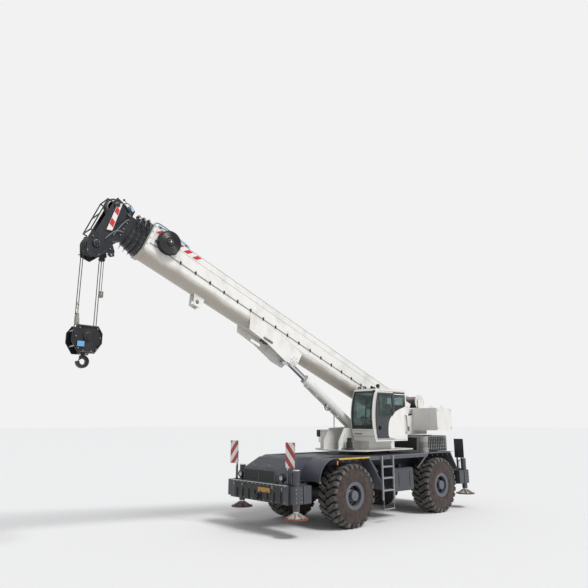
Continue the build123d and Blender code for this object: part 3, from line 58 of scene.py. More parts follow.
# Places on the machine
# The crane turns on its slew axis and the boom on its foot pin, so places are measured from those
# two, along the ground or along the boom.
joints = {joint["name"]: joint for joint in frame["joints"]}
slew_x = joints["slew"]["pos_m"][0]
foot_pin = Vector(joints["luff"]["pos_m"])
along = Vector(joints["telescope_2"]["axis"])
square = Vector((-along.z, 0, along.x))
SIDES = ((1, "left"), (-1, "right"))


def from_slew(x, y, z):
    """A point measured from the slew axis on the ground."""
    return Vector((slew_x + x, y, z))


def on_boom(u, v, y=0.0):
    """A point u metres along the boom from its foot pin and v square to it."""
    return foot_pin + u * along + v * square + Vector((0, y, 0))


# Camera
# It stands where the photographer stood: low, off the machine's left front corner, looking up.
CAMERA_HEADING = math.radians(48.418)
CAMERA_PITCH = math.radians(13.394)
camera_data = bpy.data.cameras.new("photo_camera")
camera_data.sensor_width = 36.0
camera_data.lens = 33.24
camera_data.clip_end = 900.0
camera = bpy.data.objects.new("photo_camera", camera_data)
camera.location = from_slew(15.298, 13.467, 3.086)
view_line = Vector(
    (
        -math.cos(CAMERA_HEADING) * math.cos(CAMERA_PITCH),
        -math.sin(CAMERA_HEADING) * math.cos(CAMERA_PITCH), math.sin(CAMERA_PITCH)
    )
)
camera.rotation_euler = view_line.to_track_quat("-Z", "Y").to_euler()
scene.collection.objects.link(camera)
scene.camera = camera


# Studio floor and light
# A plain pale floor that runs into a backdrop of the same tone, an even sky and one soft key light.


def colour(code):
    """Turns an sRGB hex code into the linear colour that a shader socket takes."""
    parts = [int(code[i : i + 2], 16) / 255 for i in (1, 3, 5)]
    return [c / 12.92 if c <= 0.04045 else ((c + 0.055) / 1.055) ** 2.4 for c in parts] + [1.0]


def fill(shader_node, sockets):
    """Fills a shader node's inputs with values or links."""
    for key, value in sockets.items():
        if isinstance(value, bpy.types.NodeSocket):
            shader_node.id_data.links.new(value, shader_node.inputs[key])
        else:
            shader_node.inputs[key].default_value = value


def node(tree, kind, sockets=None, stops=(), **settings):
    """Adds a shader node with its settings, inputs and, for a colour ramp, stops."""
    made = tree.nodes.new("ShaderNode" + kind)
    for name, value in settings.items():
        setattr(made, name, value)
    for stop, (position, code) in enumerate(stops):
        made.color_ramp.elements[stop].position = position
        made.color_ramp.elements[stop].color = colour(code)
    fill(made, sockets or {})
    return made


def blank_material(name):
    """A new material, its node tree, the place on the object that patterns follow, and its surface."""
    made = bpy.data.materials.new(name)
    made.use_nodes = True
    tree = made.node_tree
    tree.nodes.clear()
    here = node(tree, "TexCoord").outputs["Object"]
    surface = node(tree, "BsdfPrincipled")
    node(tree, "OutputMaterial", {"Surface": surface.outputs[0]})
    return made, tree, here, surface


# Seamless paper: matt and pale, with mottling so faint that it only keeps the floor from
# looking drawn.
paper, tree, here, surface = blank_material("seamless_paper")
mottle = node(tree, "TexNoise", {"Scale": 0.8, "Detail": 3.0})
tone = node(tree, "ValToRGB", {"Fac": mottle.outputs["Fac"]}, ((0, "#ececec"), (1, "#f4f4f4")))
fill(surface, {"Base Color": tone.outputs["Color"], "Roughness": 0.9})

SKY_STRENGTH = 0.5
FLOOR_HALF = 400.0
paper_mesh = bpy.data.meshes.new("studio_floor")
paper_mesh.from_pydata(
    [
        (x * FLOOR_HALF, y * FLOOR_HALF, 0) for x, y in ((-1, -1), (1, -1), (1, 1), (-1, 1))
    ], [], [(0, 1, 2, 3)]
)
paper_mesh.materials.append(paper)
studio_floor = bpy.data.objects.new("studio_floor", paper_mesh)
scene.collection.objects.link(studio_floor)

# The paper's far edge is lost in the backdrop, so the world shows the camera the paper's own tone
# and lights the machine with a dimmer, even sky.
studio = bpy.data.worlds.new("studio")
scene.world = studio
studio.use_nodes = True
studio.node_tree.nodes.clear()
seen = node(studio.node_tree, "LightPath")
sky = node(studio.node_tree, "Background", {"Color": colour("#f4f5f7"), "Strength": SKY_STRENGTH})
backdrop = node(studio.node_tree, "Background", {"Color": colour("#f2f2f2"), "Strength": 1.0})
both = node(
    studio.node_tree, "MixShader",
    {0: seen.outputs["Is Camera Ray"], 1: sky.outputs[0], 2: backdrop.outputs[0]}
)
node(studio.node_tree, "OutputWorld", {"Surface": both.outputs[0]})

# One broad soft light from high on the machine's left, a little behind it, as in the photograph.
key = bpy.data.lights.new("key_light", "SUN")
key.energy = 2.3
key.angle = math.radians(18)
key_holder = bpy.data.objects.new("key_light", key)
key_holder.rotation_euler = Vector((0.16, -0.9, -1.05)).to_track_quat("-Z", "Y").to_euler()
scene.collection.objects.link(key_holder)
scene.view_settings.view_transform = "Standard"


# Carrier frame, deck, outrigger boxes and beams, nose and tanks
# Welded steel plate, sprayed in anthracite two-pack enamel after assembly. The tops gather dust
# and the sides carry faint runs of washed-down dirt.


def sprayed_enamel(name, paint, grime, roughness, dirt):
    """Two-pack enamel sprayed on steel: even colour, orange peel, and a share of grime in runs."""
    made, tree, here, surface = blank_material(name)
    runs = node(tree, "Mapping", {"Vector": here, "Scale": (1, 1, 0.3)})
    dirt_runs = node(
        tree, "TexNoise", {"Vector": runs.outputs["Vector"], "Scale": 4.0, "Detail": 9.0, "Roughness": 0.68}
    )
    amount = node(
        tree, "MapRange",
        {"Value": dirt_runs.outputs["Fac"], "From Min": 0.46, "From Max": 0.8, "To Max": dirt}
    )
    # Plate corners lose a little paint, which shows as a paler line along them, 6 mm wide.
    relief = node(tree, "NewGeometry")
    rounded = node(tree, "Bevel", {"Radius": 0.006}, samples=4)
    turning = node(
        tree, "VectorMath", {0: rounded.outputs["Normal"], 1: relief.outputs["Normal"]},
        operation="DOT_PRODUCT"
    )
    rubbed = node(
        tree, "MapRange",
        {"Value": turning.outputs["Value"], "From Min": 0.98, "From Max": 0.80, "To Max": 0.3}
    )
    blend = node(
        tree, "Mix", {"Factor": amount.outputs["Result"], 6: colour(paint), 7: colour(grime)},
        data_type="RGBA"
    )
    worn = node(
        tree, "Mix", {"Factor": rubbed.outputs["Result"], 6: blend.outputs[2], 7: colour("#a9a8a4")},
        data_type="RGBA"
    )
    # Orange peel is about 3 mm across, too fine for the picture, so it is drawn at 15 mm.
    peel = node(tree, "TexNoise", {"Vector": here, "Scale": 1 / 0.015})
    skin = node(tree, "Bump", {"Height": peel.outputs["Fac"], "Strength": 0.06, "Distance": 0.002})
    gloss = node(
        tree, "MapRange",
        {"Value": dirt_runs.outputs["Fac"], "To Min": roughness - 0.07, "To Max": roughness + 0.14}
    )
    fill(
        surface,
        {
            "Base Color": worn.outputs[2], "Roughness": gloss.outputs["Result"], "Coat Weight": 0.15,
            "Coat Roughness": 0.25, "Normal": skin.outputs["Normal"]
        }
    )
    return made


def dress(material, *nodes):
    """Gives each named CAD node one finish."""
    for name in nodes:
        mesh = frame["nodes"][name].data
        mesh.materials.clear()
        mesh.materials.append(material)


def slab(mesh, outline, place, near, far, finish=0):
    """Plate with the outline's corners, from depth near to far; place turns (a, b, depth) to a point."""
    rings = [[mesh.verts.new(place(a, b, depth)) for a, b in outline] for depth in (near, far)]
    faces = [mesh.faces.new(rings[0][::-1]), mesh.faces.new(rings[1])]
    for i in range(len(outline)):
        j = (i + 1) % len(outline)
        faces.append(mesh.faces.new((rings[0][i], rings[0][j], rings[1][j], rings[1][i])))
    for face in faces:
        face.material_index = finish


def block(mesh, centre, size, finish=0, lean=0.0):
    """Rectangular bar or plate round its centre, leaned about Y."""
    turn = Matrix.Rotation(lean, 3, "Y")
    wide, deep, high = (s / 2 for s in size)
    slab(
        mesh, [(-wide, -high), (wide, -high), (wide, high), (-wide, high)],
        lambda a, b, depth: Vector(centre) + turn @ Vector((a, depth, b)), -deep, deep, finish
    )


def turned(mesh, profile, centre, axis, steps=32, finish=0):
    """Round form: profile rows of distance along the axis from the centre, and radius."""
    axis = Vector(axis).normalized()
    side = axis.orthogonal().normalized()
    other = axis.cross(side)
    rings = []
    for reach, radius in profile:
        middle = Vector(centre) + axis * reach
        if radius == 0:
            rings.append([mesh.verts.new(middle)])
            continue
        turns = [math.tau * i / steps for i in range(steps)]
        rings.append(
            [mesh.verts.new(middle + radius * (math.cos(t) * side + math.sin(t) * other)) for t in turns]
        )
    for near, far in zip(rings, rings[1:]):
        for i in range(steps):
            j = (i + 1) % steps
            corners = [near[i % len(near)], near[j % len(near)], far[j % len(far)], far[i % len(far)]]
            made = mesh.faces.new(list(dict.fromkeys(corners)))
            made.material_index = finish
    for end in (rings[0], rings[-1]):
        if len(end) > 1 and profile[0] != profile[-1]:
            mesh.faces.new(end).material_index = finish


def bolt(mesh, radius, height, spot, axis, finish=0):
    """Adds a plain hexagon head that stands on a spot."""
    turned(mesh, [(0, radius), (height, radius)], spot, axis, 6, finish)


def ring(count, radius):
    """Places of bolts spread evenly round a circle, as distances across and up from its centre."""
    turns = [math.tau * k / count for k in range(count)]
    return [(radius * math.cos(turn), radius * math.sin(turn)) for turn in turns]


def bent_rod(mesh, points, radius, sides=10, finish=0, round_corners=2):
    """Bar, pipe or hose along points, its corners eased."""
    line = [Vector(p) for p in points]
    for _ in range(round_corners if len(line) > 2 else 0):
        eased = [line[0]]
        for a, b in zip(line, line[1:]):
            eased += [a.lerp(b, 0.25), a.lerp(b, 0.75)]
        line = eased + [line[-1]]
    side = (line[1] - line[0]).orthogonal().normalized()
    rings = []
    for i, point in enumerate(line):
        ahead = (line[min(i + 1, len(line) - 1)] - line[max(i - 1, 0)]).normalized()
        side = (side - ahead * side.dot(ahead)).normalized()
        other = ahead.cross(side)
        turns = [math.tau * k / sides for k in range(sides)]
        rings.append(
            [mesh.verts.new(point + radius * (math.cos(t) * side + math.sin(t) * other)) for t in turns]
        )
    for near, far in zip(rings, rings[1:]):
        for k in range(sides):
            j = (k + 1) % sides
            mesh.faces.new((near[k], near[j], far[j], far[k])).material_index = finish
    for end in (rings[0][::-1], rings[-1]):
        mesh.faces.new(end).material_index = finish


def piece(mesh, name, body, *finishes, edge=0.003):
    """Closes a mesh as a named piece, riding on a body if one is given, corners broken by edge metres."""
    bmesh.ops.recalc_face_normals(mesh, faces=mesh.faces)
    data = bpy.data.meshes.new(name)
    mesh.to_mesh(data)
    mesh.free()
    for finish in finishes:
        data.materials.append(finish)
    data.shade_smooth()
    data.set_sharp_from_angle(angle=math.radians(34))
    made = bpy.data.objects.new(name, data)
    scene.collection.objects.link(made)
    if edge:
        broken = made.modifiers.new("broken_edge", "BEVEL")
        broken.width = edge
        broken.segments = 2
        broken.angle_limit = math.radians(50)
    if body:
        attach(made, body)
    return made


anthracite_enamel = sprayed_enamel("anthracite_enamel", "#3f4249", "#5d5c58", 0.4, 0.5)
dress(
    anthracite_enamel, "chassis_frame", "rear_outrigger_box", "tanks",
    *[n for n in frame["nodes"] if n.startswith("outrigger_beam")]
)


def overlaid(material, share, tone):
    """Lays a share of one more tone over a material's own colour."""
    tree = material.node_tree
    shader = next(n for n in tree.nodes if n.type == "BSDF_PRINCIPLED")
    paint = shader.inputs["Base Color"].links[0].from_socket
    toned = node(tree, "Mix", {"Factor": share, 6: paint, 7: colour(tone)}, data_type="RGBA")
    fill(shader, {"Base Color": toned.outputs[2]})
    return material


def with_painted_shade(material, tone, centre, half, axis="Y", facing_front=False):
    """Lays a darker tone of painted shade where a coordinate's size lies within half of centre, facing
    front or not.
    """
    tree = material.node_tree
    here = node(tree, "TexCoord").outputs["Object"]
    where = node(tree, "SeparateXYZ", {"Vector": here})
    size = node(tree, "Math", {0: where.outputs[axis]}, operation="ABSOLUTE")
    share = node(tree, "Math", {0: size.outputs[0], 1: centre, 2: half}, operation="COMPARE")
    if facing_front:
        faced = node(tree, "SeparateXYZ", {"Vector": here.node.outputs["Normal"]})
        front = node(tree, "Math", {0: faced.outputs["X"], 1: 0.7}, operation="GREATER_THAN")
        share = node(tree, "Math", {0: share.outputs[0], 1: front.outputs[0]}, operation="MULTIPLY")
    return overlaid(material, share.outputs[0], tone)


# Nose and fenders get a lighter blue-grey copy of the paint: painted reflection of the sky on their slopes.
sky_lit_enamel = sprayed_enamel("sky_lit_anthracite_enamel", "#4d505a", "#66645f", 0.36, 0.45)
dress(sky_lit_enamel, "nose_cover", "deck_and_fenders")
# The bumper's front face, between its ends, is painted much darker: painted shade on the faces that point
# forward.
bumper_enamel = sprayed_enamel("bumper_enamel", "#3f4249", "#5d5c58", 0.4, 0.5)
dress(with_painted_shade(bumper_enamel, "#1d1f1e", 0.0, 1.16, facing_front=True), "front_outrigger_box")
chassis_black = sprayed_enamel("chassis_black", "#1c1d1f", "#4a443c", 0.5, 0.6)
dress(
    chassis_black, "slew_ring", "front_axle", "rear_axle",
    *[n for n in frame["nodes"] if n.startswith("knuckle")]
)
zinc_plate, tree, here, surface = blank_material("zinc_plated_steel")
# Zinc on bolts and pipe ends: bright, with a faint cloud of yellow passivation.
clouds = node(tree, "TexNoise", {"Vector": here, "Scale": 30.0})
tint = node(tree, "ValToRGB", {"Fac": clouds.outputs["Fac"]}, ((0, "#9a9a96"), (1, "#c4bfae")))
fill(surface, {"Base Color": tint.outputs["Color"], "Metallic": 1.0, "Roughness": 0.38})

# Grip coating on the deck: resin strewn with grit, rolled on in mats that leave the edges bare, so
# that boots hold on the wet steel. It is nearly black, paler where dust lies.
grip_coating, tree, here, surface = blank_material("grit_grip_coating")
# The grit is 1 to 2 mm, drawn at 12 mm so that it shows.
grit = node(tree, "TexVoronoi", {"Vector": here, "Scale": 1 / 0.012})
dust = node(tree, "TexNoise", {"Vector": here, "Scale": 2.5, "Detail": 6.0})
tint = node(tree, "ValToRGB", {"Fac": dust.outputs["Fac"]}, ((0.35, "#1b1b1c"), (0.75, "#4b4945")))
bumps = node(tree, "Bump", {"Height": grit.outputs["Distance"], "Strength": 0.7, "Distance": 0.003})
fill(surface, {"Base Color": tint.outputs["Color"], "Roughness": 0.85, "Normal": bumps.outputs["Normal"]})
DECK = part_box("deck_and_fenders")[1][2]
DECK_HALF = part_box("deck_and_fenders")[1][1]
GRIP_MATS = [  # name, from x, to x, from y, to y
    ("mid", -1.15, 1.45, 1.02, 1.56),
    ("front", 1.55, 3.0, 0.9, 1.56),
    ("rear", -3.35, -2.25, 1.16, 1.56),
]
for side, hand in SIDES:
    mesh = bmesh.new()
    for name, x0, x1, y0, y1 in GRIP_MATS:
        middle = from_slew((x0 + x1) / 2, side * (y0 + y1) / 2, DECK + 0.0015)
        block(mesh, middle, (x1 - x0, y1 - y0, 0.003))
    piece(mesh, f"grip_mats_{hand}", "carrier", grip_coating, edge=0.0)

# Deck edges: a yellow painted strip in front, bright worn lines behind it, plated bolts along the
# skirts, and a marker lamp of amber acrylic in a steel box on each side.
yellow_enamel = sprayed_enamel("yellow_edge_enamel", "#cfa93a", "#8c7b4a", 0.45, 0.5)
amber_lens, tree, here, surface = blank_material("moulded_amber_acrylic")
# Acrylic lens with 4 mm prisms moulded inside, which glitter and hide the bulb.
prisms = node(tree, "TexVoronoi", {"Vector": here, "Scale": 1 / 0.008})
bumps = node(tree, "Bump", {"Height": prisms.outputs["Distance"], "Strength": 0.5, "Distance": 0.002})
fill(
    surface,
    {
        "Base Color": colour("#e8821e"), "Roughness": 0.12, "IOR": 1.49, "Subsurface Weight": 0.2,
        "Coat Weight": 0.6, "Normal": bumps.outputs["Normal"]
    }
)
for side, hand in SIDES:
    mesh = bmesh.new()
    for x0, x1, finish in ((1.55, 2.95, 0), (-3.1, -1.7, 1), (-1.6, 0.35, 1)):
        middle = from_slew((x0 + x1) / 2, side * (DECK_HALF + 0.0015), DECK - (0.008 if finish else 0.028))
        block(mesh, middle, (x1 - x0, 0.003, 0.012 if finish else 0.045), finish)
    piece(mesh, f"deck_edge_stripes_{hand}", "carrier", yellow_enamel, zinc_plate, edge=0.0)
    mesh = bmesh.new()
    block(mesh, from_slew(3.03, side * (DECK_HALF - 0.02), 1.93), (0.05, 0.05, 0.12), 0)
    block(mesh, from_slew(3.03, side * (DECK_HALF + 0.008), 1.93), (0.044, 0.016, 0.11), 1)
    piece(mesh, f"marker_lamps_{hand}", "carrier", chassis_black, amber_lens)
    mesh = bmesh.new()
    for step in range(20):
        x = -3.1 + step * 0.31
        turned(
            mesh, [(0.0, 0.017), (0.003, 0.017), (0.003, 0.011), (0.011, 0.011)],
            from_slew(x, side * DECK_HALF, DECK - 0.085), (0, side, 0), 6
        )
    piece(mesh, f"skirt_bolts_{hand}", "carrier", zinc_plate, edge=0.0)

# Nose: a sheet steel cover over the front of the frame, with hinged lids on its top and slope,
# plated handles, and a framed grille of woven wire in its front.
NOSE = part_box("nose_cover")
nose_front = NOSE[1][0]
nose_half = NOSE[1][1]
grille_black, tree, here, surface = blank_material("woven_grille_wire")
# Woven 3 mm wire at 12 mm pitch, drawn at 24 mm.
across = node(tree, "TexWave", {"Vector": here, "Scale": 1 / 0.024 / 1.57}, bands_direction="Y")
upward = node(tree, "TexWave", {"Vector": here, "Scale": 1 / 0.024 / 1.57}, bands_direction="Z")
weave = node(tree, "Math", {0: across.outputs["Fac"], 1: upward.outputs["Fac"]}, operation="MAXIMUM")
tint = node(tree, "ValToRGB", {"Fac": weave.outputs[0]}, ((0.55, "#070808"), (0.95, "#2c2e2d")))
bumps = node(tree, "Bump", {"Height": weave.outputs[0], "Strength": 0.8, "Distance": 0.004})
fill(surface, {"Base Color": tint.outputs["Color"], "Roughness": 0.5, "Normal": bumps.outputs["Normal"]})
mesh = bmesh.new()
block(mesh, (nose_front + 0.003, 0, 1.565), (0.006, 2 * nose_half - 0.12, 0.30))
piece(mesh, "nose_grille", "carrier", grille_black, edge=0.0)
mesh = bmesh.new()
for z in (1.405, 1.735):
    block(mesh, (nose_front + 0.006, 0, z), (0.012, 2 * nose_half - 0.02, 0.03))
for y in (-nose_half + 0.03, nose_half - 0.03, 0):
    block(mesh, (nose_front + 0.006, y, 1.57), (0.012, 0.035, 0.32))
slope = math.atan2(2.06 - 1.76, 4.75 - 4.15)  # from the nose's ridge down to its front
for y in (-0.37, 0.37):
    middle = from_slew(4.45, y, 1.91) + Vector((0.004 * math.sin(slope), 0, 0.004 * math.cos(slope)))
    block(mesh, middle, (0.6, 0.66, 0.008), lean=slope)
for x in (3.25, 3.75):
    for y in (-0.37, 0.37):
        block(mesh, from_slew(x, y, 2.064), (0.44, 0.66, 0.008))
piece(mesh, "nose_lids", "carrier", anthracite_enamel)
mesh = bmesh.new()
for y in (-0.37, 0.37):
    middle = from_slew(4.66, y, 1.83)
    bent_rod(
        mesh,
        [
            middle + Vector((0, -0.07, 0)), middle + Vector((0.03, -0.07, 0.045)),
            middle + Vector((0.03, 0.07, 0.045)), middle + Vector((0, 0.07, 0))
        ],
        0.007
    )
piece(mesh, "nose_lid_handles", "carrier", zinc_plate, edge=0.0)

# Bumpers on the outrigger boxes, front and rear: a bright folded lip, bent tie-down eyes welded
# under it, rows of plated bolts, and a black holder with a bare amber plate.
BOXES = [("front", 1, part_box("front_outrigger_box")), ("rear", -1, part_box("rear_outrigger_box"))]
lip_grey = sprayed_enamel("lip_grey_enamel", "#b3b5b6", "#6a6762", 0.4, 0.4)
amber_sheet = sprayed_enamel("blank_amber_sheet", "#b98628", "#7d683c", 0.35, 0.3)
for end, outward, (low, high) in BOXES:
    # The lip stands on the bumper plate, behind the towing lugs' reach.
    plate_x = (high[0] if outward > 0 else low[0]) - outward * 0.13
    mesh = bmesh.new()
    block(mesh, (plate_x + outward * 0.02, 0, high[2] - 0.012), (0.04, 2.66, 0.024), 0)
    for y in (-1.15, -0.72, 0.72, 1.15):
        bent_rod(
            mesh,
            [
                (plate_x + outward * 0.005, y, high[2] - 0.07),
                (plate_x + outward * 0.05, y, high[2] - 0.08),
                (plate_x + outward * 0.06, y, high[2] - 0.13),
                (plate_x + outward * 0.005, y, high[2] - 0.14)
            ],
            0.009
        )
    piece(mesh, f"{end}_bumper_lip", "carrier", lip_grey)
    mesh = bmesh.new()
    block(mesh, (plate_x + outward * 0.005, 0.30, 1.19), (0.01, 0.62, 0.18), 0)
    block(mesh, (plate_x + outward * 0.013, 0.30, 1.19), (0.006, 0.56, 0.13), 1)
    piece(mesh, f"{end}_plate_holder", "carrier", chassis_black, amber_sheet)
    mesh = bmesh.new()
    for y in [k * 0.19 - 1.235 for k in range(14)]:
        for z in (high[2] - 0.05, low[2] + 0.05):
            turned(
                mesh, [(0.0, 0.02), (0.004, 0.02), (0.004, 0.014), (0.015, 0.014)], (plate_x, y, z),
                (outward, 0, 0), 6
            )
    piece(mesh, f"{end}_bumper_bolts", "carrier", zinc_plate, edge=0.0)

# Tanks: pressed steel, held to the frame's sides by two black bands each, with a turned filler cap
# on top.
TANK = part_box("tanks")
for side, hand in SIDES:
    mesh = bmesh.new()
    for x in (TANK[0][0] + 0.2, TANK[1][0] - 0.2):
        reach = TANK[1][1] + 0.004
        bent_rod(
            mesh,
            [
                (x, side * (reach - 0.5), TANK[1][2] + 0.002),
                (x, side * (reach - 0.07), TANK[1][2] + 0.002), (x, side * reach, TANK[1][2] - 0.07),
                (x, side * reach, TANK[0][2] + 0.07), (x, side * (reach - 0.07), TANK[0][2] - 0.002),
                (x, side * (reach - 0.5), TANK[0][2] - 0.002)
            ],
            0.012, 6
        )
    turned(
        mesh, [(0.0, 0.07), (0.05, 0.07), (0.05, 0.085), (0.09, 0.085), (0.1, 0.07)],
        ((TANK[0][0] + TANK[1][0]) / 2, side * (TANK[1][1] - 0.22), TANK[1][2]), (0, 0, 1), 20
    )
    piece(mesh, f"tank_straps_{hand}", "carrier", chassis_black)

# Head lamps: round lamps in black moulded housings. A chromed bowl lies behind a clear lens whose
# ribs are moulded 12 mm apart.
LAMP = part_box("head_lamps")
moulded_black = sprayed_enamel("moulded_black_polyamide", "#17181a", "#3a3833", 0.55, 0.4)
dress(moulded_black, "head_lamps")
clear_lens, tree, here, surface = blank_material("ribbed_clear_lens")
ribs = node(tree, "TexWave", {"Vector": here, "Scale": 1 / 0.012 / 1.57}, bands_direction="Y")
bumps = node(tree, "Bump", {"Height": ribs.outputs["Fac"], "Strength": 0.6, "Distance": 0.003})
fill(
    surface,
    {
        "Base Color": colour("#a9afb2"), "Metallic": 0.6, "Roughness": 0.12, "Coat Weight": 1.0,
        "Normal": bumps.outputs["Normal"]
    }
)
for side, hand in SIDES:
    mesh = bmesh.new()
    centre = (LAMP[1][0], side * (LAMP[1][1] - 0.11), LAMP[1][2] - 0.11)
    turned(mesh, [(-0.01, 0.1), (0.03, 0.1), (0.03, 0.085), (0.01, 0.085)], centre, (1, 0, 0), 32, 0)
    turned(mesh, [(0.008, 0.084), (0.02, 0.075), (0.028, 0.045), (0.031, 0.0)], centre, (1, 0, 0), 32, 1)
    piece(mesh, f"head_lamp_{hand}", "carrier", moulded_black, clear_lens, edge=0.0)

# Axles: castings with a bolted cover each side of the differential, and behind each axle a double
# steering cylinder with chromed rods on welded brackets, left at straight ahead.
AXLE_X = 2.3  # the slew axis stands midway between the axles
AXLE_Z = 0.9375
WHEELS = [  # name, x from the slew axis, side
    ("front_left", AXLE_X, 1),
    ("front_right", AXLE_X, -1),
    ("rear_left", -AXLE_X, 1),
    ("rear_right", -AXLE_X, -1),
]
hard_chrome, tree, here, surface = blank_material("hard_chrome")
# Ground chrome: nearly a mirror, with hair-fine rings from the grinding drawn at 4 mm.
rings = node(tree, "TexNoise", {"Vector": here, "Scale": 60.0, "Detail": 3.0})
film = node(tree, "MapRange", {"Value": rings.outputs["Fac"], "To Min": 0.08, "To Max": 0.24})
tint = node(tree, "ValToRGB", {"Fac": rings.outputs["Fac"]}, ((0, "#b9bcc0"), (1, "#d6d8db")))
fill(surface, {"Base Color": tint.outputs["Color"], "Metallic": 1.0, "Roughness": film.outputs["Result"]})
for end, axle_x, back in (("front", AXLE_X, -1), ("rear", -AXLE_X, 1)):
    mesh = bmesh.new()
    for side in (-1, 1):
        for across, up in ring(14, 0.235):
            spot = from_slew(axle_x + across, side * 0.26, AXLE_Z + up)
            bolt(mesh, 0.016, 0.014, spot, (0, side, 0))
    piece(mesh, f"{end}_axle_bolts", "carrier", zinc_plate, edge=0.0)
    mesh = bmesh.new()
    behind = from_slew(axle_x + back * 0.3, 0, AXLE_Z + 0.02)
    for side in (-1, 1):
        turned(
            mesh, [(0.0, 0.045), (0.34, 0.045), (0.34, 0.052), (0.38, 0.052), (0.38, 0.02)],
            behind + Vector((0, side * 0.04, 0)), (0, side, 0), 20, 0
        )
        turned(
            mesh, [(0.37, 0.022), (0.6, 0.022)], behind + Vector((0, side * 0.04, 0)), (0, side, 0), 16, 1
        )
        block(mesh, behind + Vector((-back * 0.13, side * 0.25, 0)), (0.2, 0.05, 0.06), 0)
    piece(mesh, f"{end}_steering_cylinder", "carrier", chassis_black, hard_chrome)

# Wheels: steel rims with a deep dish and a planetary hub, bolted on by a ring of nuts; earthmover
# tyres moulded in natural rubber, lugs in chevrons that run over the shoulders, the walls brown
# with dried mud and wax bloom.
rim_grey = sprayed_enamel("rim_grey_enamel", "#5b5f68", "#5f564b", 0.4, 0.6)
# The dish behind the rim's outer ring is painted nearly black: painted shade in the recess, with brake
# dust.
DISH_FROM_MIDDLE = 1.36
dress(
    with_painted_shade(rim_grey, "#1c1d20", DISH_FROM_MIDDLE, 0.12),
    *[n for n in frame["nodes"] if n.startswith("rim_")]
)


def dusty_rubber(name, rubber, dust_tone, dust, roughness):
    """Vulcanised rubber: matt and nearly black, under a share of dried mud that sits in patches."""
    made, tree, here, surface = blank_material(name)
    patches = node(tree, "TexNoise", {"Vector": here, "Scale": 6.0, "Detail": 10.0, "Roughness": 0.7})
    amount = node(
        tree, "MapRange",
        {"Value": patches.outputs["Fac"], "From Min": 0.36, "From Max": 0.68, "To Max": dust}
    )
    tone = node(
        tree, "Mix", {"Factor": amount.outputs["Result"], 6: colour(rubber), 7: colour(dust_tone)},
        data_type="RGBA"
    )
    # Grains of dried mud are about 1 mm, drawn at 6 mm.
    grains = node(tree, "TexNoise", {"Vector": here, "Scale": 1 / 0.006})
    bumps = node(tree, "Bump", {"Height": grains.outputs["Fac"], "Strength": 0.35, "Distance": 0.003})
    fill(
        surface,
        {
            "Base Color": tone.outputs[2], "Roughness": roughness, "Specular IOR Level": 0.35,
            "Sheen Weight": 0.15, "Normal": bumps.outputs["Normal"]
        }
    )
    return made


tread_rubber = dusty_rubber("dusty_tread_rubber", "#292929", "#77736c", 0.85, 0.75)
wall_rubber = dusty_rubber("mud_stained_wall_rubber", "#2d2624", "#4d3f38", 1.0, 0.75)
# The groove floors between the lugs take a darker copy of the rubber: painted shade in the recesses.
shaded_groove_rubber = dusty_rubber("shaded_groove_rubber", "#101010", "#37332e", 0.5, 0.9)
TYRE_RADIUS = 0.9365
TYRE_WALL = [  # distance from the middle plane, radius: half of the carcass, bead to crown
    (0.318, 0.352),
    (0.345, 0.372),
    (0.352, 0.42),
    (0.366, 0.47),
    (0.372, 0.475),
    (0.3745, 0.56),
    (0.3745, 0.61),
    (0.370, 0.625),
    (0.368, 0.70),
    (0.360, 0.765),
    (0.352, 0.77),
    (0.346, 0.815),
    (0.330, 0.858),
    (0.300, 0.875),
    (0.200, 0.884),
    (0.0, 0.888),
]
LUGS = 26
LUG_PATH = [  # distance from the middle plane, lag behind the leading point, share of the pitch filled
    (0.368, 0.46, 0.56),
    (0.352, 0.46, 0.64),
    (0.300, 0.44, 0.70),
    (0.235, 0.40, 0.72),
    (0.195, 0.24, 0.72),
    (0.110, 0.02, 0.70),
    (0.060, -0.10, 0.68),
    (0.012, 0.02, 0.60),
]
LUG_RADII = [0.845, 0.905, 0.930, 0.9345, 0.9355, 0.9362, TYRE_RADIUS, TYRE_RADIUS]
pitch = math.tau / LUGS
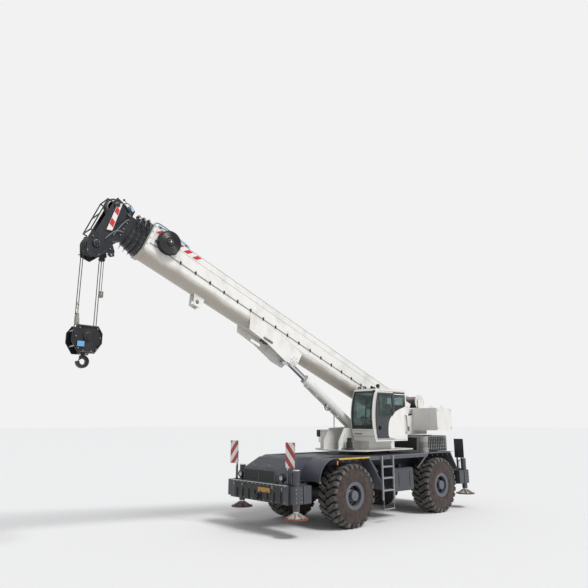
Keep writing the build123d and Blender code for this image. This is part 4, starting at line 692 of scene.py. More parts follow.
for name, wheel_x, side in WHEELS:
    hub = from_slew(wheel_x, side * 1.275, AXLE_Z)

    def tyre_point(y, radius, turn):
        """A point of this tyre: distance from its middle plane, radius, angle round it."""
        return hub + Vector((radius * math.sin(turn), y, radius * math.cos(turn)))

    mesh = bmesh.new()
    section = TYRE_WALL + [(-y, radius) for y, radius in reversed(TYRE_WALL[:-1])] + TYRE_WALL[:1]
    turned(mesh, section, hub, (0, 1, 0), 104, 1)
    # Carcass faces out at the tread, between the lugs, get the darker rubber of painted shade.
    for face in mesh.faces:
        radius = (face.calc_center_median() - hub).xz.length
        if radius > 0.83:
            face.material_index = 2
    # Each half of the tread has its own row of lugs, set half a pitch on from the other row.
    for half in (-1, 1):
        for lug in range(LUGS):
            start = pitch * (lug + (0.0 if half > 0 else 0.5))
            rows = []
            for (y, lag, share), top in zip(LUG_PATH, LUG_RADII):
                floor = 0.80 if y > 0.36 else 0.87
                middle = start - lag * pitch
                wide = share * pitch / 2
                chamfer = 0.10 * wide
                rows.append(
                    [
                        mesh.verts.new(tyre_point(half * y, floor, middle - wide)),
                        mesh.verts.new(tyre_point(half * y, top - 0.008, middle - wide + chamfer)),
                        mesh.verts.new(tyre_point(half * y, top, middle - wide + 2 * chamfer)),
                        mesh.verts.new(tyre_point(half * y, top, middle + wide - 2 * chamfer)),
                        mesh.verts.new(tyre_point(half * y, top - 0.008, middle + wide - chamfer)),
                        mesh.verts.new(tyre_point(half * y, floor, middle + wide))
                    ]
                )
            for near, far in zip(rows, rows[1:]):
                for k in range(5):
                    mesh.faces.new((near[k], near[k + 1], far[k + 1], far[k]))
            mesh.faces.new(rows[0])
            mesh.faces.new(rows[-1][::-1])
    tyre = piece(
        mesh, f"chevron_tyre_{name}", f"wheel_{name}", tread_rubber, wall_rubber, shaded_groove_rubber, edge=0.0
    )
    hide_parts(f"tyre_{name}")

    mesh = bmesh.new()
    outer = (0, side, 0)
    for up, across in ring(20, 0.262):
        spot = hub + Vector((across, side * 0.083, up))
        turned(mesh, [(-0.02, 0.022), (0.012, 0.022), (0.018, 0.016), (0.03, 0.014)], spot, outer, 6, 1)
    hub_face = side * (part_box(f"rim_{name}")[1][1] if side > 0 else -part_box(f"rim_{name}")[0][1])
    cap = Vector((hub.x, hub_face, hub.z))
    turned(
        mesh, [(-0.09, 0.15), (-0.006, 0.152), (0.006, 0.142), (0.006, 0.07), (0.012, 0.062), (0.012, 0.0)],
        cap, outer, 32, 0
    )
    for up, across in ring(10, 0.12):
        spot = cap + Vector((across, side * 0.004, up))
        bolt(mesh, 0.009, 0.008, spot, outer, 1)
    bent_rod(
        mesh,
        [
            hub + Vector((0.30, side * 0.10, 0.0)), hub + Vector((0.305, side * 0.2, 0.0)),
            hub + Vector((0.28, side * 0.27, 0.0))
        ],
        0.006, 6, 1
    )
    piece(mesh, f"wheel_nuts_{name}", f"wheel_{name}", rim_grey, zinc_plate, edge=0.0)

# Jacks: hard chromed rods in painted tubes, on round fabricated floats, white above and red round
# the rim so that they are seen on the ground.
float_paint, tree, here, surface = blank_material("red_rimmed_float_enamel")
height = node(tree, "SeparateXYZ", {"Vector": here})
wear = node(tree, "TexNoise", {"Vector": here, "Scale": 14.0, "Detail": 8.0})
red, pale = (
    node(
        tree, "Mix", {0: wear.outputs["Fac"], 6: colour(sound), 7: colour(worn)}, data_type="RGBA"
    ) for sound, worn in (("#8f3a33", "#6d4a42"), ("#c9c7c2", "#8a857c"))
)
FLOAT_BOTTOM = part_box("outrigger_jack_front_left")[0][2]
is_top = node(tree, "Math", {0: height.outputs["Z"], 1: FLOAT_BOTTOM + 0.031}, operation="GREATER_THAN")
is_rod = node(tree, "Math", {0: height.outputs["Z"], 1: FLOAT_BOTTOM + 0.17}, operation="GREATER_THAN")
painted = node(
    tree, "Mix", {"Factor": is_top.outputs[0], 6: red.outputs[2], 7: pale.outputs[2]}, data_type="RGBA"
)
all_over = node(
    tree, "Mix", {"Factor": is_rod.outputs[0], 6: painted.outputs[2], 7: colour("#c3c5c8")},
    data_type="RGBA"
)
gloss = node(tree, "MapRange", {"Value": is_rod.outputs[0], "To Min": 0.5, "To Max": 0.16})
fill(
    surface,
    {"Base Color": all_over.outputs[2], "Metallic": is_rod.outputs[0], "Roughness": gloss.outputs["Result"]}
)
dress(float_paint, *[n for n in frame["nodes"] if n.startswith("outrigger_jack")])

# Beam ends: a bolted end plate of sprayed steel, the jack tube's turned white cap and black collar,
# and the pair of rubber hoses that feed the jack.
cap_white = sprayed_enamel("cap_white_enamel", "#d8d7d2", "#8f8b82", 0.4, 0.5)
for name in ("front_left", "front_right", "rear_left", "rear_right"):
    low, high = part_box(f"outrigger_beam_{name}")
    side = 1 if name.endswith("left") else -1
    middle_x = (low[0] + high[0]) / 2
    end_y = side * high[1]
    mesh = bmesh.new()
    block(mesh, (middle_x, end_y, 1.12), (0.27, 0.016, 0.44))
    for x in (-0.105, 0.105):
        for z in (0.95, 1.06, 1.18, 1.29):
            bolt(mesh, 0.015, 0.02, (middle_x + x, end_y, z), (0, side, 0), 1)
    jack_y = side * 1.49
    turned(
        mesh, [(0.0, 0.098), (0.012, 0.098), (0.02, 0.09), (0.02, 0.0)], (middle_x, jack_y, high[2]),
        (0, 0, 1), 32, 2
    )
    turned(mesh, [(-0.02, 0.101), (0.02, 0.101)], (middle_x, jack_y, high[2] - 0.14), (0, 0, 1), 32, 0)
    for dx in (-0.03, 0.03):
        bent_rod(
            mesh,
            [
                (middle_x + dx, jack_y - side * 0.09, high[2] - 0.06),
                (middle_x + dx, jack_y - side * 0.2, high[2] - 0.08),
                (middle_x + dx * 1.5, jack_y - side * 0.22, high[2] - 0.25),
                (middle_x + dx * 1.5, jack_y - side * 0.2, high[2] - 0.39)
            ],
            0.011, 8, 3
        )
    piece(mesh, f"beam_end_{name}", f"beam_{name}", anthracite_enamel, zinc_plate, cap_white, moulded_black)

# Ladders: light grey welded steel. Each rung carries a tread pressed into rows of studs, and a low
# step hangs on two straps below the last rung.
ladder_grey = sprayed_enamel("ladder_grey_enamel", "#8d9094", "#6d6960", 0.42, 0.5)
dress(ladder_grey, "ladders")
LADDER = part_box("ladders")
LADDER_MIDDLE = (LADDER[0][0] + LADDER[1][0]) / 2
for side, hand in SIDES:
    mesh = bmesh.new()
    for rung in (0.98, 1.36, 1.71):
        tread_y = side * (LADDER[1][1] - 0.075)
        block(mesh, (LADDER_MIDDLE, tread_y, rung + 0.021), (0.5, 0.12, 0.006))
        for k in range(9):
            turned(
                mesh, [(0.0, 0.016), (0.006, 0.01), (0.006, 0.0)],
                (LADDER_MIDDLE - 0.2 + k * 0.05, tread_y, rung + 0.024), (0, 0, 1), 10
            )
    for x in (-0.255, 0.255):
        bent_rod(
            mesh,
            [
                (LADDER_MIDDLE + x, side * (LADDER[1][1] - 0.02), 0.74),
                (LADDER_MIDDLE + x, side * (LADDER[1][1] - 0.02), 0.42)
            ],
            0.009, 8
        )
    block(mesh, (LADDER_MIDDLE, side * (LADDER[1][1] - 0.02), 0.42), (0.53, 0.05, 0.03))
    piece(mesh, f"ladder_treads_{hand}", "carrier", ladder_grey, edge=0.0)

# Engine hood: pressed sheet with upright louvre slats, an air cleaner and a silencer on the deck.
# The slats are light grey, the shell behind them darker, and the silencer is heat-browned.
louvre_grey = sprayed_enamel("louvre_grey_enamel", "#a4a6a5", "#77746c", 0.45, 0.6)
# The shell's sides behind the slats are painted all but black: painted shade of the engine bay seen between
# them.
dress(with_painted_shade(louvre_grey, "#1b1c1e", 1.0, 0.006), "engine_hood")
dress(chassis_black, "engine_block")
heat_brown, tree, here, surface = blank_material("heat_browned_steel")
# Rolled steel that has run hot: brown and blue oxide in clouds a hand wide.
oxide = node(tree, "TexNoise", {"Vector": here, "Scale": 9.0, "Detail": 6.0})
tint = node(tree, "ValToRGB", {"Fac": oxide.outputs["Fac"]}, ((0.35, "#3a3532"), (0.7, "#7a6656")))
fill(surface, {"Base Color": tint.outputs["Color"], "Metallic": 0.8, "Roughness": 0.55})
hood_front = -1.95
mesh = bmesh.new()
for side in (-1, 1):
    canister = from_slew(hood_front + 0.13, side * 1.3, DECK)
    for z in (0.12, 0.42):
        turned(
            mesh, [(-0.02, 0.151), (-0.02, 0.156), (0.02, 0.156), (0.02, 0.151)],
            canister + Vector((0, 0, z)), (0, 0, 1), 40
        )
    for x, y in ring(24, 0.152):
        block(mesh, canister + Vector((x, y, 0.27)), (0.008, 0.008, 0.2), 1)
    turned(
        mesh, [(0.0, 0.06), (0.02, 0.06), (0.02, 0.0)], canister + Vector((0, 0, 0.56)), (0, 0, 1), 24, 1
    )
piece(mesh, "canister_bands", "carrier", zinc_plate, chassis_black, edge=0.0)
mesh = bmesh.new()
pipe = from_slew(hood_front + 0.13, -1.3, DECK + 0.3)
bent_rod(
    mesh, [pipe + Vector((-0.14, 0.0, 0)), pipe + Vector((-0.26, 0.0, 0)), pipe + Vector((-0.3, 0.29, 0))],
    0.05, 20, 0, 3
)
piece(mesh, "exhaust_pipe", "carrier", heat_brown, edge=0.0)
mesh = bmesh.new()
for side in (-1, 1):
    for k in range(4):
        z = DECK + 0.11 + k * 0.12
        block(mesh, from_slew(-2.83, side * 1.03, z), (1.62, 0.012, 0.014), 0)
    for x in (-2.0, -3.66):
        block(mesh, from_slew(x, side * 1.012, DECK + 0.28), (0.05, 0.03, 0.53), 0)
    block(mesh, from_slew(-2.83, side * 1.012, DECK + 0.545), (1.7, 0.03, 0.035), 0)
    for x in (-2.35, -3.3):
        turned(
            mesh, [(0, 0.022), (0.012, 0.022), (0.012, 0.012), (0.03, 0.012)],
            from_slew(x, side * 1.03, DECK + 0.48), (0, side, 0), 16, 1
        )
piece(mesh, "hood_rails", "carrier", louvre_grey, zinc_plate)
# Front face of the hood: a dark radiator core behind a frame.
mesh = bmesh.new()
face_x = slew_x + hood_front - 0.03
lean = math.atan2(0.06, 0.57)
block(mesh, (face_x + 0.006, 0, DECK + 0.29), (0.006, 1.72, 0.44), 0, lean=-lean)
piece(mesh, "radiator_core", "carrier", grille_black, edge=0.0)

# Hazard boards: aluminium sheets faced with retroreflective sheeting, red and white slants that
# fall outwards, screwed to square posts with two clamps each.
hazard_sheeting, tree, here, surface = blank_material("retroreflective_sheeting")
where = node(tree, "SeparateXYZ", {"Vector": here})
inward = node(tree, "Math", {0: where.outputs["Y"]}, operation="ABSOLUTE")
slant = node(tree, "Math", {0: where.outputs["Z"], 1: inward.outputs[0]}, operation="ADD")
# Each stripe pair takes 0.4 m of board height, as on the real boards.
phase = node(tree, "Math", {0: slant.outputs[0], 1: 1 / 0.4}, operation="MULTIPLY")
part = node(tree, "Math", {0: phase.outputs[0]}, operation="FRACT")
is_red = node(tree, "Math", {0: part.outputs[0], 1: 0.5}, operation="LESS_THAN")
cells = node(tree, "TexVoronoi", {"Vector": here, "Scale": 1 / 0.012})
grime = node(tree, "TexNoise", {"Vector": here, "Scale": 6.0, "Detail": 6.0})
pale, red = (
    node(
        tree, "Mix", {0: grime.outputs["Fac"], 6: colour(clean), 7: colour(dirty)}, data_type="RGBA"
    ) for clean, dirty in (("#ededea", "#cfccc4"), ("#b3161c", "#8f1a1e"))
)
stripes = node(
    tree, "Mix", {"Factor": is_red.outputs[0], 6: pale.outputs[2], 7: red.outputs[2]}, data_type="RGBA"
)
BOARD_FOOT = 1.79
BOARD_INNER = 1.14
above = node(tree, "Math", {0: where.outputs["Z"], 1: BOARD_FOOT}, operation="GREATER_THAN")
# The sheeting is on the outward faces alone: forwards in front, backwards at the rear.
faced = node(tree, "SeparateXYZ", {"Vector": here.node.outputs["Normal"]})
end = node(tree, "Math", {0: where.outputs["X"]}, operation="SIGN")
front = node(tree, "Math", {0: faced.outputs["X"], 1: end.outputs[0]}, operation="MULTIPLY")
outward = node(tree, "Math", {0: front.outputs[0], 1: 0.5}, operation="GREATER_THAN")
outer = node(tree, "Math", {0: inward.outputs[0], 1: BOARD_INNER}, operation="GREATER_THAN")
high = node(tree, "Math", {0: above.outputs[0], 1: outer.outputs[0]}, operation="MULTIPLY")
is_board = node(tree, "Math", {0: high.outputs[0], 1: outward.outputs[0]}, operation="MULTIPLY")
finish = node(
    tree, "Mix", {"Factor": is_board.outputs[0], 6: colour("#3f4249"), 7: stripes.outputs[2]},
    data_type="RGBA"
)
bumps = node(tree, "Bump", {"Height": cells.outputs["Distance"], "Strength": 0.15, "Distance": 0.001})
fill(
    surface,
    {
        "Base Color": finish.outputs[2], "Roughness": 0.3, "Coat Weight": 0.4,
        "Normal": bumps.outputs["Normal"]
    }
)
dress(hazard_sheeting, "hazard_boards")
BOARDS = [  # x and y from the slew axis, height of the lower edge
    (4.7, 1.36, 1.85),
    (4.7, -1.36, 1.85),
    (-3.98, 1.36, 1.8),
    (-3.98, -1.36, 1.8),
]
mesh = bmesh.new()
for x, y, z in BOARDS:
    outward = 1 if x > 0 else -1
    for dy in (-0.19, 0.19):
        for dz in (0.03, 0.67):
            turned(
                mesh, [(0, 0.011), (0.004, 0.011), (0.004, 0.0)],
                from_slew(x + outward * 0.006, y + dy, z + dz), (outward, 0, 0), 12, 1
            )
    post_y = y - math.copysign(0.12, y)
    for dz in (0.1, 0.34):
        block(mesh, from_slew(x - 0.03, post_y, z + dz), (0.06, 0.07, 0.035), 0)
    block(mesh, from_slew(x - 0.03, post_y, 1.4), (0.09, 0.09, 0.02), 0)
piece(mesh, "board_clamps", "carrier", chassis_black, zinc_plate)

# Turntable: fabricated in plate and sprayed off-white, with a ring of bolts, a slew gearbox with its
# motor, a valve box, hoses over the luffing cylinder's foot and a mirror on the right.
off_white = sprayed_enamel("off_white_enamel", "#e6e5e1", "#b9b3a7", 0.32, 0.35)
dress(off_white, "turntable", "luff_barrel")
mesh = bmesh.new()
for x, y in ring(36, 0.84):
    # The floor is open in the middle, where the luffing cylinder's foot goes down.
    if abs(y) >= 0.29 or x <= -0.4:
        profile = [(0.0, 0.022), (0.004, 0.022), (0.004, 0.015), (0.022, 0.015)]
        turned(mesh, profile, from_slew(x, y, 2.22), (0, 0, 1), 6)
piece(mesh, "slew_ring_bolts", "turntable", zinc_plate, edge=0.0)
hose_rubber = dusty_rubber("braided_hose_rubber", "#161617", "#4a4641", 0.5, 0.6)
mesh = bmesh.new()
gearbox = [(0.0, 0.15), (0.05, 0.15), (0.05, 0.11), (0.26, 0.11), (0.26, 0.08), (0.38, 0.08), (0.4, 0.05)]
gearbox_x, gearbox_y = 1.4, 0.6
turned(mesh, gearbox, from_slew(gearbox_x, gearbox_y, 2.215), (0, 0, 1), 32, 0)
for x, y in ring(12, 0.13):
    bolt(mesh, 0.011, 0.012, from_slew(gearbox_x + x, gearbox_y + y, 2.265), (0, 0, 1), 1)
piece(mesh, "slew_gearbox", "turntable", chassis_black, zinc_plate, edge=0.0)
mesh = bmesh.new()
for k in range(4):
    y = -0.16 + k * 0.05 if k < 2 else 0.06 + k * 0.03
    bent_rod(
        mesh,
        [
            from_slew(0.56, y, 2.06), from_slew(0.6, y, 2.42), from_slew(0.48, y * 0.8, 2.62),
            from_slew(0.2, y * 1.2, 2.56), from_slew(0.05, y * 1.2, 2.06)
        ],
        0.016, 10, 0, 3
    )
piece(mesh, "cylinder_hoses", "turntable", hose_rubber, edge=0.0)
# Valve box on the right: a lid with hinges and a row of pipe unions.
mesh = bmesh.new()
box_x, box_y = 1.18, -0.56
block(mesh, from_slew(box_x, box_y, 2.866), (0.6, 0.38, 0.012), 0)
block(mesh, from_slew(box_x + 0.284, box_y, 2.55), (0.008, 0.28, 0.5), 0)
for dy in (-0.1, 0.1):
    turned(mesh, [(-0.03, 0.01), (0.03, 0.01)], from_slew(box_x + 0.292, box_y + dy, 2.8), (0, 1, 0), 12, 1)
turned(mesh, [(0, 0.014), (0.02, 0.014)], from_slew(box_x + 0.288, box_y, 2.36), (1, 0, 0), 12, 1)
for k in range(5):
    turned(
        mesh, [(0, 0.018), (0.03, 0.018), (0.03, 0.012), (0.06, 0.012)],
        from_slew(box_x - 0.2 + 0.1 * k, box_y + 0.171, 2.4), (0, 1, 0), 6, 1
    )
piece(mesh, "valve_box_lid", "turntable", off_white, zinc_plate)
mesh = bmesh.new()
silvered_glass, tree, here, surface = blank_material("silvered_mirror_glass")
smear = node(tree, "TexNoise", {"Vector": here, "Scale": 12.0, "Detail": 4.0})
film = node(tree, "MapRange", {"Value": smear.outputs["Fac"], "To Min": 0.02, "To Max": 0.14})
# Float glass with silver behind it: a true mirror under a film of dust.
fill(surface, {"Base Color": colour("#cdd2d4"), "Metallic": 1.0, "Roughness": film.outputs["Result"]})
mirror_spot = from_slew(1.3, -0.95, 2.74)
turned(mesh, [(-0.014, 0.02), (0.014, 0.02)], mirror_spot - Vector((0, 0, 0.1)), (0, 0, 1), 12, 0)
mirror_outline = [
    (-0.085, -0.12), (0.085, -0.12), (0.1, -0.1), (0.1, 0.1), (0.085, 0.12), (-0.085, 0.12), (-0.1, 0.1),
    (-0.1, -0.1)
]
slab(mesh, mirror_outline, lambda a, b, depth: mirror_spot + Vector((depth, a, b)), -0.03, 0.03, 0)
slab(
    mesh, [(a * 0.88, b * 0.9) for a, b in mirror_outline],
    lambda a, b, depth: mirror_spot + Vector((depth, a, b)), -0.033, -0.029, 1
)
piece(mesh, "side_mirror", "turntable", moulded_black, silvered_glass)
# Gussets and the boom pin's bolted covers on the cheeks, with a bundle of five hoses along each.
CHEEK_FACE = 0.374
mesh = bmesh.new()
for side in (-1, 1):
    for x0, z0, x1, z1 in ((-1.6, 2.7, -1.75, 3.1), (-2.1, 2.7, -2.05, 3.1), (1.45, 2.28, 1.35, 2.75)):
        slab(
            mesh, [(x0, z0), (x0 + 0.12, z0), (x1 + 0.05, z1), (x1, z1)],
            lambda a, b, depth: from_slew(a, side * depth, b), CHEEK_FACE, CHEEK_FACE + 0.05, 0
        )
    turned(
        mesh, [(0, 0.12), (0.03, 0.12), (0.03, 0.085), (0.055, 0.085), (0.055, 0.0)],
        foot_pin + Vector((0, side * 0.414, 0)), (0, side, 0), 36, 1
    )
    for across, up in ring(6, 0.1):
        spot = foot_pin + Vector((across, side * 0.444, up))
        bolt(mesh, 0.011, 0.012, spot, (0, side, 0), 2)
piece(mesh, "pivot_plates", "turntable", off_white, chassis_black, zinc_plate)
mesh = bmesh.new()
for side in (-1, 1):
    for k in range(5):
        z = 2.86 + k * 0.035
        y = side * (CHEEK_FACE + 0.022)
        bent_rod(
            mesh,
            [
                from_slew(-2.2, y, z - 0.05), from_slew(-1.6, y, z), from_slew(-0.9, y, z + 0.02),
                from_slew(-0.4, y, z - 0.08), from_slew(0.2, y, z - 0.2)
            ],
            0.012, 8, 0, 2
        )
piece(mesh, "cheek_hoses", "turntable", hose_rubber, edge=0.0)

# Winches: cast drums with white flanges, wound with wire rope in tight even turns. A turned cap and
# a ring of bolts close each bearing.
wire_rope, tree, here, surface = blank_material("greased_wire_rope")
# The strands are 4 mm across on the slant, drawn at 12 mm; grease darkens the hollows.
lay = node(
    tree, "TexWave", {"Vector": here, "Scale": 1 / 0.012 / 1.57, "Distortion": 0.6},
    bands_direction="DIAGONAL"
)
tint = node(tree, "ValToRGB", {"Fac": lay.outputs["Fac"]}, ((0, "#2b2a28"), (1, "#7b7974")))
bumps = node(tree, "Bump", {"Height": lay.outputs["Fac"], "Strength": 0.7, "Distance": 0.002})
fill(
    surface,
    {
        "Base Color": tint.outputs["Color"], "Metallic": 0.75, "Roughness": 0.45,
        "Normal": bumps.outputs["Normal"]
    }
)
flange_white = sprayed_enamel("flange_white_enamel", "#dcdad4", "#8f8a80", 0.4, 0.5)
for winch, drum_x, drum_z in (("main_winch", -3.04, 3.9), ("auxiliary_winch", -3.08, 3.24)):
    dress(flange_white, f"{winch}_drum")
    mesh = bmesh.new()
    turns_profile = [(-0.298, 0.19)]
    for k in range(26):
        y = -0.286 + k * 0.022
        turns_profile += [(y - 0.008, 0.212), (y, 0.218), (y + 0.008, 0.212), (y + 0.011, 0.206)]
    turns_profile += [(0.298, 0.19)]
    turned(mesh, turns_profile, from_slew(drum_x, 0, drum_z), (0, 1, 0), 48, 0)
    for side in (-1, 1):
        turned(
            mesh, [(0.325, 0.11), (0.345, 0.11), (0.345, 0.05)], from_slew(drum_x, 0, drum_z), (0, side, 0),
            32, 1
        )
        for across, up in ring(8, 0.17):
            spot = from_slew(drum_x + across, side * 0.325, drum_z + up)
            bolt(mesh, 0.014, 0.012, spot, (0, side, 0), 1)
    piece(mesh, f"{winch}_winding", winch, wire_rope, zinc_plate, edge=0.0)

# Counterweight: thick steel plates burned to shape, stacked and bolted, sprayed off-white, with
# lifting eyes on top and two rear lamps.
counter_white = sprayed_enamel("counterweight_enamel", "#e2e1dd", "#b3ada1", 0.36, 0.35)
dress(counter_white, "counterweight")
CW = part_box("counterweight")
mesh = bmesh.new()
for side in (-1, 1):
    for x in (-2.6, -3.3):
        eye = from_slew(x, side * 1.15, CW[1][2])
        bent_rod(
            mesh,
            [
                eye + Vector((-0.07, 0, -0.01)), eye + Vector((-0.07, 0, 0.09)),
                eye + Vector((0.07, 0, 0.09)), eye + Vector((0.07, 0, -0.01))
            ],
            0.014, 10, 0, 2
        )
    for x in (-2.5, -3.34):
        for z in (2.92, 3.56):
            turned(
                mesh, [(0, 0.024), (0.006, 0.024), (0.006, 0.016), (0.018, 0.016)],
                from_slew(x, side * 1.5, z), (0, side, 0), 6, 2
            )
    turned(
        mesh, [(0, 0.06), (0.03, 0.06), (0.04, 0.05), (0.04, 0)], from_slew(-3.52, side * 1.0, 3.0),
        (-1, 0, 0), 28, 3
    )
piece(mesh, "counterweight_fittings", "turntable", counter_white, chassis_black, zinc_plate, amber_lens)
mesh = bmesh.new()
for side in (-1, 1):
    slab(
        mesh, [(0.44, 2.9), (1.42, 2.9), (1.42, 3.58), (0.44, 3.58)],
        lambda a, b, depth: from_slew(depth, side * a, b), -2.432, -2.424, 0
    )
piece(mesh, "counterweight_front_plates", "turntable", counter_white)
# Rear face: a step of three rungs, bent from bar and welded on.
mesh = bmesh.new()
for z in (2.95, 3.2, 3.45):
    bent_rod(
        mesh,
        [
            from_slew(-3.5, 0.12, z), from_slew(-3.518, 0.12, z), from_slew(-3.518, 0.42, z),
            from_slew(-3.5, 0.42, z)
        ],
        0.008, 8, 0, 1
    )
piece(mesh, "counterweight_rungs", "turntable", counter_white, edge=0.0)

# Luffing cylinder: a chromed rod, a turned and bolted gland on the barrel's mouth, and two plated
# pipes in clips along the barrel's underside.
dress(hard_chrome, "luff_rod")
luff_foot = Vector((slew_x + 0.3, 0, 2.78))
pin_u, pin_v = 5.86, -0.35
rod_end = on_boom(pin_u, pin_v)
luff_way = (rod_end - luff_foot).normalized()
luff_up = Vector((-luff_way.z, 0, luff_way.x))
mesh = bmesh.new()
turned(
    mesh, [(3.04, 0.151), (3.04, 0.158), (3.115, 0.158), (3.12, 0.15), (3.12, 0.1)], luff_foot, luff_way,
    48, 0
)
turned(mesh, [(0.22, 0.151), (0.22, 0.156), (0.3, 0.156), (0.3, 0.151)], luff_foot, luff_way, 48, 0)
for up, y in ring(12, 0.13):
    spot = luff_foot + luff_way * 3.12 + up * luff_up + Vector((0, y, 0))
    bolt(mesh, 0.01, 0.01, spot, luff_way, 1)
for y in (-0.05, 0.05):
    start = luff_foot - luff_up * 0.165 + Vector((0, y, 0))
    bent_rod(
        mesh, [start + luff_way * 0.35, start + luff_way * 1.5, start + luff_way * 3.0], 0.014, 10, 1, 0
    )
for reach in (0.6, 1.2, 1.8, 2.4, 2.9):
    block(
        mesh, luff_foot + luff_way * reach - luff_up * 0.165, (0.04, 0.16, 0.03), 0,
        lean=-math.atan2(luff_way.z, luff_way.x)
    )
# A bar bent to a loop under the barrel, which guards the hose where it leaves.
loop = luff_foot + luff_way * 1.9 - luff_up * 0.15
bent_rod(
    mesh,
    [
        loop + Vector((0, 0.06, 0)), loop - luff_up * 0.11 + Vector((0, 0.06, 0)),
        loop - luff_up * 0.16 + luff_way * -0.1 + Vector((0, 0.06, 0)),
        loop - luff_up * 0.1 - luff_way * 0.22 + Vector((0, 0.06, 0)),
        loop - luff_way * 0.24 + Vector((0, 0.06, 0))
    ],
    0.018, 10, 2, 3
)
piece(mesh, "luff_cylinder_pipes", "luff_barrel", off_white, zinc_plate, hose_rubber)
mesh = bmesh.new()
for side in (-1, 1):
    turned(
        mesh, [(0.336, 0.075), (0.345, 0.075), (0.345, 0.045), (0.352, 0.045), (0.352, 0.0)], rod_end,
        (0, side, 0), 32, 0
    )
piece(mesh, "luff_pin_caps", "luff_rod", chassis_black, edge=0.0)

# Boom: five boxes of bent high-strength plate, one in another, sprayed off-white outside. Painted
# shade darkens the underside to beige, and a sensor cable runs in a clipped rail on each side.
boom_enamel = sprayed_enamel("boom_enamel", "#e9e8e4", "#c6c0b4", 0.3, 0.25)
tree = boom_enamel.node_tree
here = node(tree, "TexCoord").outputs["Object"]
facing = node(tree, "SeparateXYZ", {"Vector": here.node.outputs["Normal"]})
# Faces that point down get painted shade: a beige film like road dust, in clouds about half a metre long
# with ragged edges.
clouds = node(tree, "TexNoise", {"Vector": here, "Scale": 2.2, "Detail": 8.0})
underside_shade = node(
    tree, "Math", {0: clouds.outputs["Fac"], 1: 0.7, 2: facing.outputs["Z"]}, operation="MULTIPLY_ADD"
)
film = node(
    tree, "MapRange", {"Value": underside_shade.outputs[0], "From Min": 0.34, "From Max": -0.1, "To Max": 0.9}
)
dress(overlaid(boom_enamel, film.outputs["Result"], "#a49c90"), "boom_base")
seam_grey = sprayed_enamel("seam_rail_enamel", "#8f8d87", "#6f6a61", 0.45, 0.5)
BOOM_SIDE = 0.32


def boom_plate(mesh, side, outline, near, far, finish=0):
    """Flat plate on one side of the boom, its outline in lengths along and up the boom."""
    slab(mesh, outline, lambda a, b, depth: on_boom(a, b, side * depth), near, far, finish)


for side, hand in SIDES:
    mesh = bmesh.new()
    # The rail comes in lengths, with one joint more on the side of the hose reel.
    ends = (2.4, 5.55, 8.05, 10.9, 11.78) if side == 1 else (2.4, 5.55, 8.05, 11.78)
    for low, high in zip(ends, ends[1:]):
        rail = [(low, 0.265), (high, 0.265), (high, 0.292), (low, 0.292)]
        boom_plate(mesh, side, rail, BOOM_SIDE, BOOM_SIDE + 0.014)
    for k in range(18):
        u = 2.6 + k * 0.54
        boom_plate(
            mesh, side, [(u, 0.25), (u + 0.05, 0.25), (u + 0.07, 0.335), (u + 0.02, 0.335)], BOOM_SIDE,
            BOOM_SIDE + 0.026, 1
        )
    piece(mesh, f"seam_rail_{hand}", "boom_base", seam_grey, chassis_black)
    # A long weld line runs along the upper plate, and a shorter one along the underside's edge.
    mesh = bmesh.new()
    for v, low, high in ((0.62, -0.2, 11.76), (0.115, 0.2, 5.4)):
        bent_rod(mesh, [on_boom(low, v, side * BOOM_SIDE), on_boom(high, v, side * BOOM_SIDE)], 0.0045, 6)
    bent_rod(
        mesh, [on_boom(-0.2, 0.82, side * BOOM_SIDE), on_boom(11.76, 0.82, side * BOOM_SIDE)], 0.006, 6
    )
    piece(mesh, f"boom_welds_{hand}", "boom_base", seam_grey, edge=0.0)

# Warning stripes: red reflective tape cut to slants, stuck on the boom's white sides near its tip.
red_tape, tree, here, surface = blank_material("red_reflective_tape")
fade = node(tree, "TexNoise", {"Vector": here, "Scale": 7.0, "Detail": 5.0})
tint = node(
    tree, "Mix", {"Factor": fade.outputs["Fac"], 6: colour("#d8212a"), 7: colour("#b8343a")},
    data_type="RGBA"
)
# The beads are 0.1 mm across and are drawn at 6 mm.
beads = node(tree, "TexVoronoi", {"Vector": here, "Scale": 1 / 0.006})
bumps = node(tree, "Bump", {"Height": beads.outputs["Distance"], "Strength": 0.1, "Distance": 0.001})
fill(
    surface,
    {
        "Base Color": tint.outputs[2], "Roughness": 0.35, "Coat Weight": 0.3,
        "Normal": bumps.outputs["Normal"]
    }
)
for side, hand in SIDES:
    mesh = bmesh.new()
    for u in (10.2, 10.52, 10.84, 11.16, 11.48):
        boom_plate(
            mesh, side, [(u, 0.8), (u + 0.15, 0.8), (u + 0.29, 0.66), (u + 0.14, 0.66)], BOOM_SIDE,
            BOOM_SIDE + 0.002
        )
    piece(mesh, f"boom_stripes_{hand}", "boom_base", red_tape, edge=0.0)

# The base section's tip: a collar of plate with plated bolts and a bright lip, and a pale blue pipe
# bent and carried on brackets along the top edge.
pipe_blue = sprayed_enamel("pale_blue_enamel", "#a9c4dc", "#8ea0ad", 0.35, 0.3)
mesh = bmesh.new()
for side in (-1, 1):
    for v in (0.0, 0.2, 0.4, 0.6, 0.78):
        bolt(mesh, 0.018, 0.012, on_boom(11.845, v, side * 0.36), (0, side, 0), 1)
    boom_plate(
        mesh, side, [(11.875, -0.05), (11.904, -0.05), (11.904, 0.87), (11.875, 0.87)], 0.358, 0.368, 1
    )
piece(mesh, "tip_collar_bolts", "boom_base", off_white, zinc_plate, edge=0.0)
mesh = bmesh.new()
rail_low, rail_high = 10.65, 11.79
bent_rod(
    mesh,
    [
        on_boom(rail_low, 0.84, 0.24), on_boom(rail_low + 0.04, 0.94, 0.24),
        on_boom(rail_high - 0.06, 0.94, 0.24), on_boom(rail_high, 0.88, 0.24)
    ],
    0.03, 14, 0, 2
)
for u in (10.75, 11.2, 11.65):
    boom_plate(mesh, 1, [(u, 0.825), (u + 0.05, 0.825), (u + 0.05, 0.93), (u, 0.93)], 0.215, 0.265, 1)
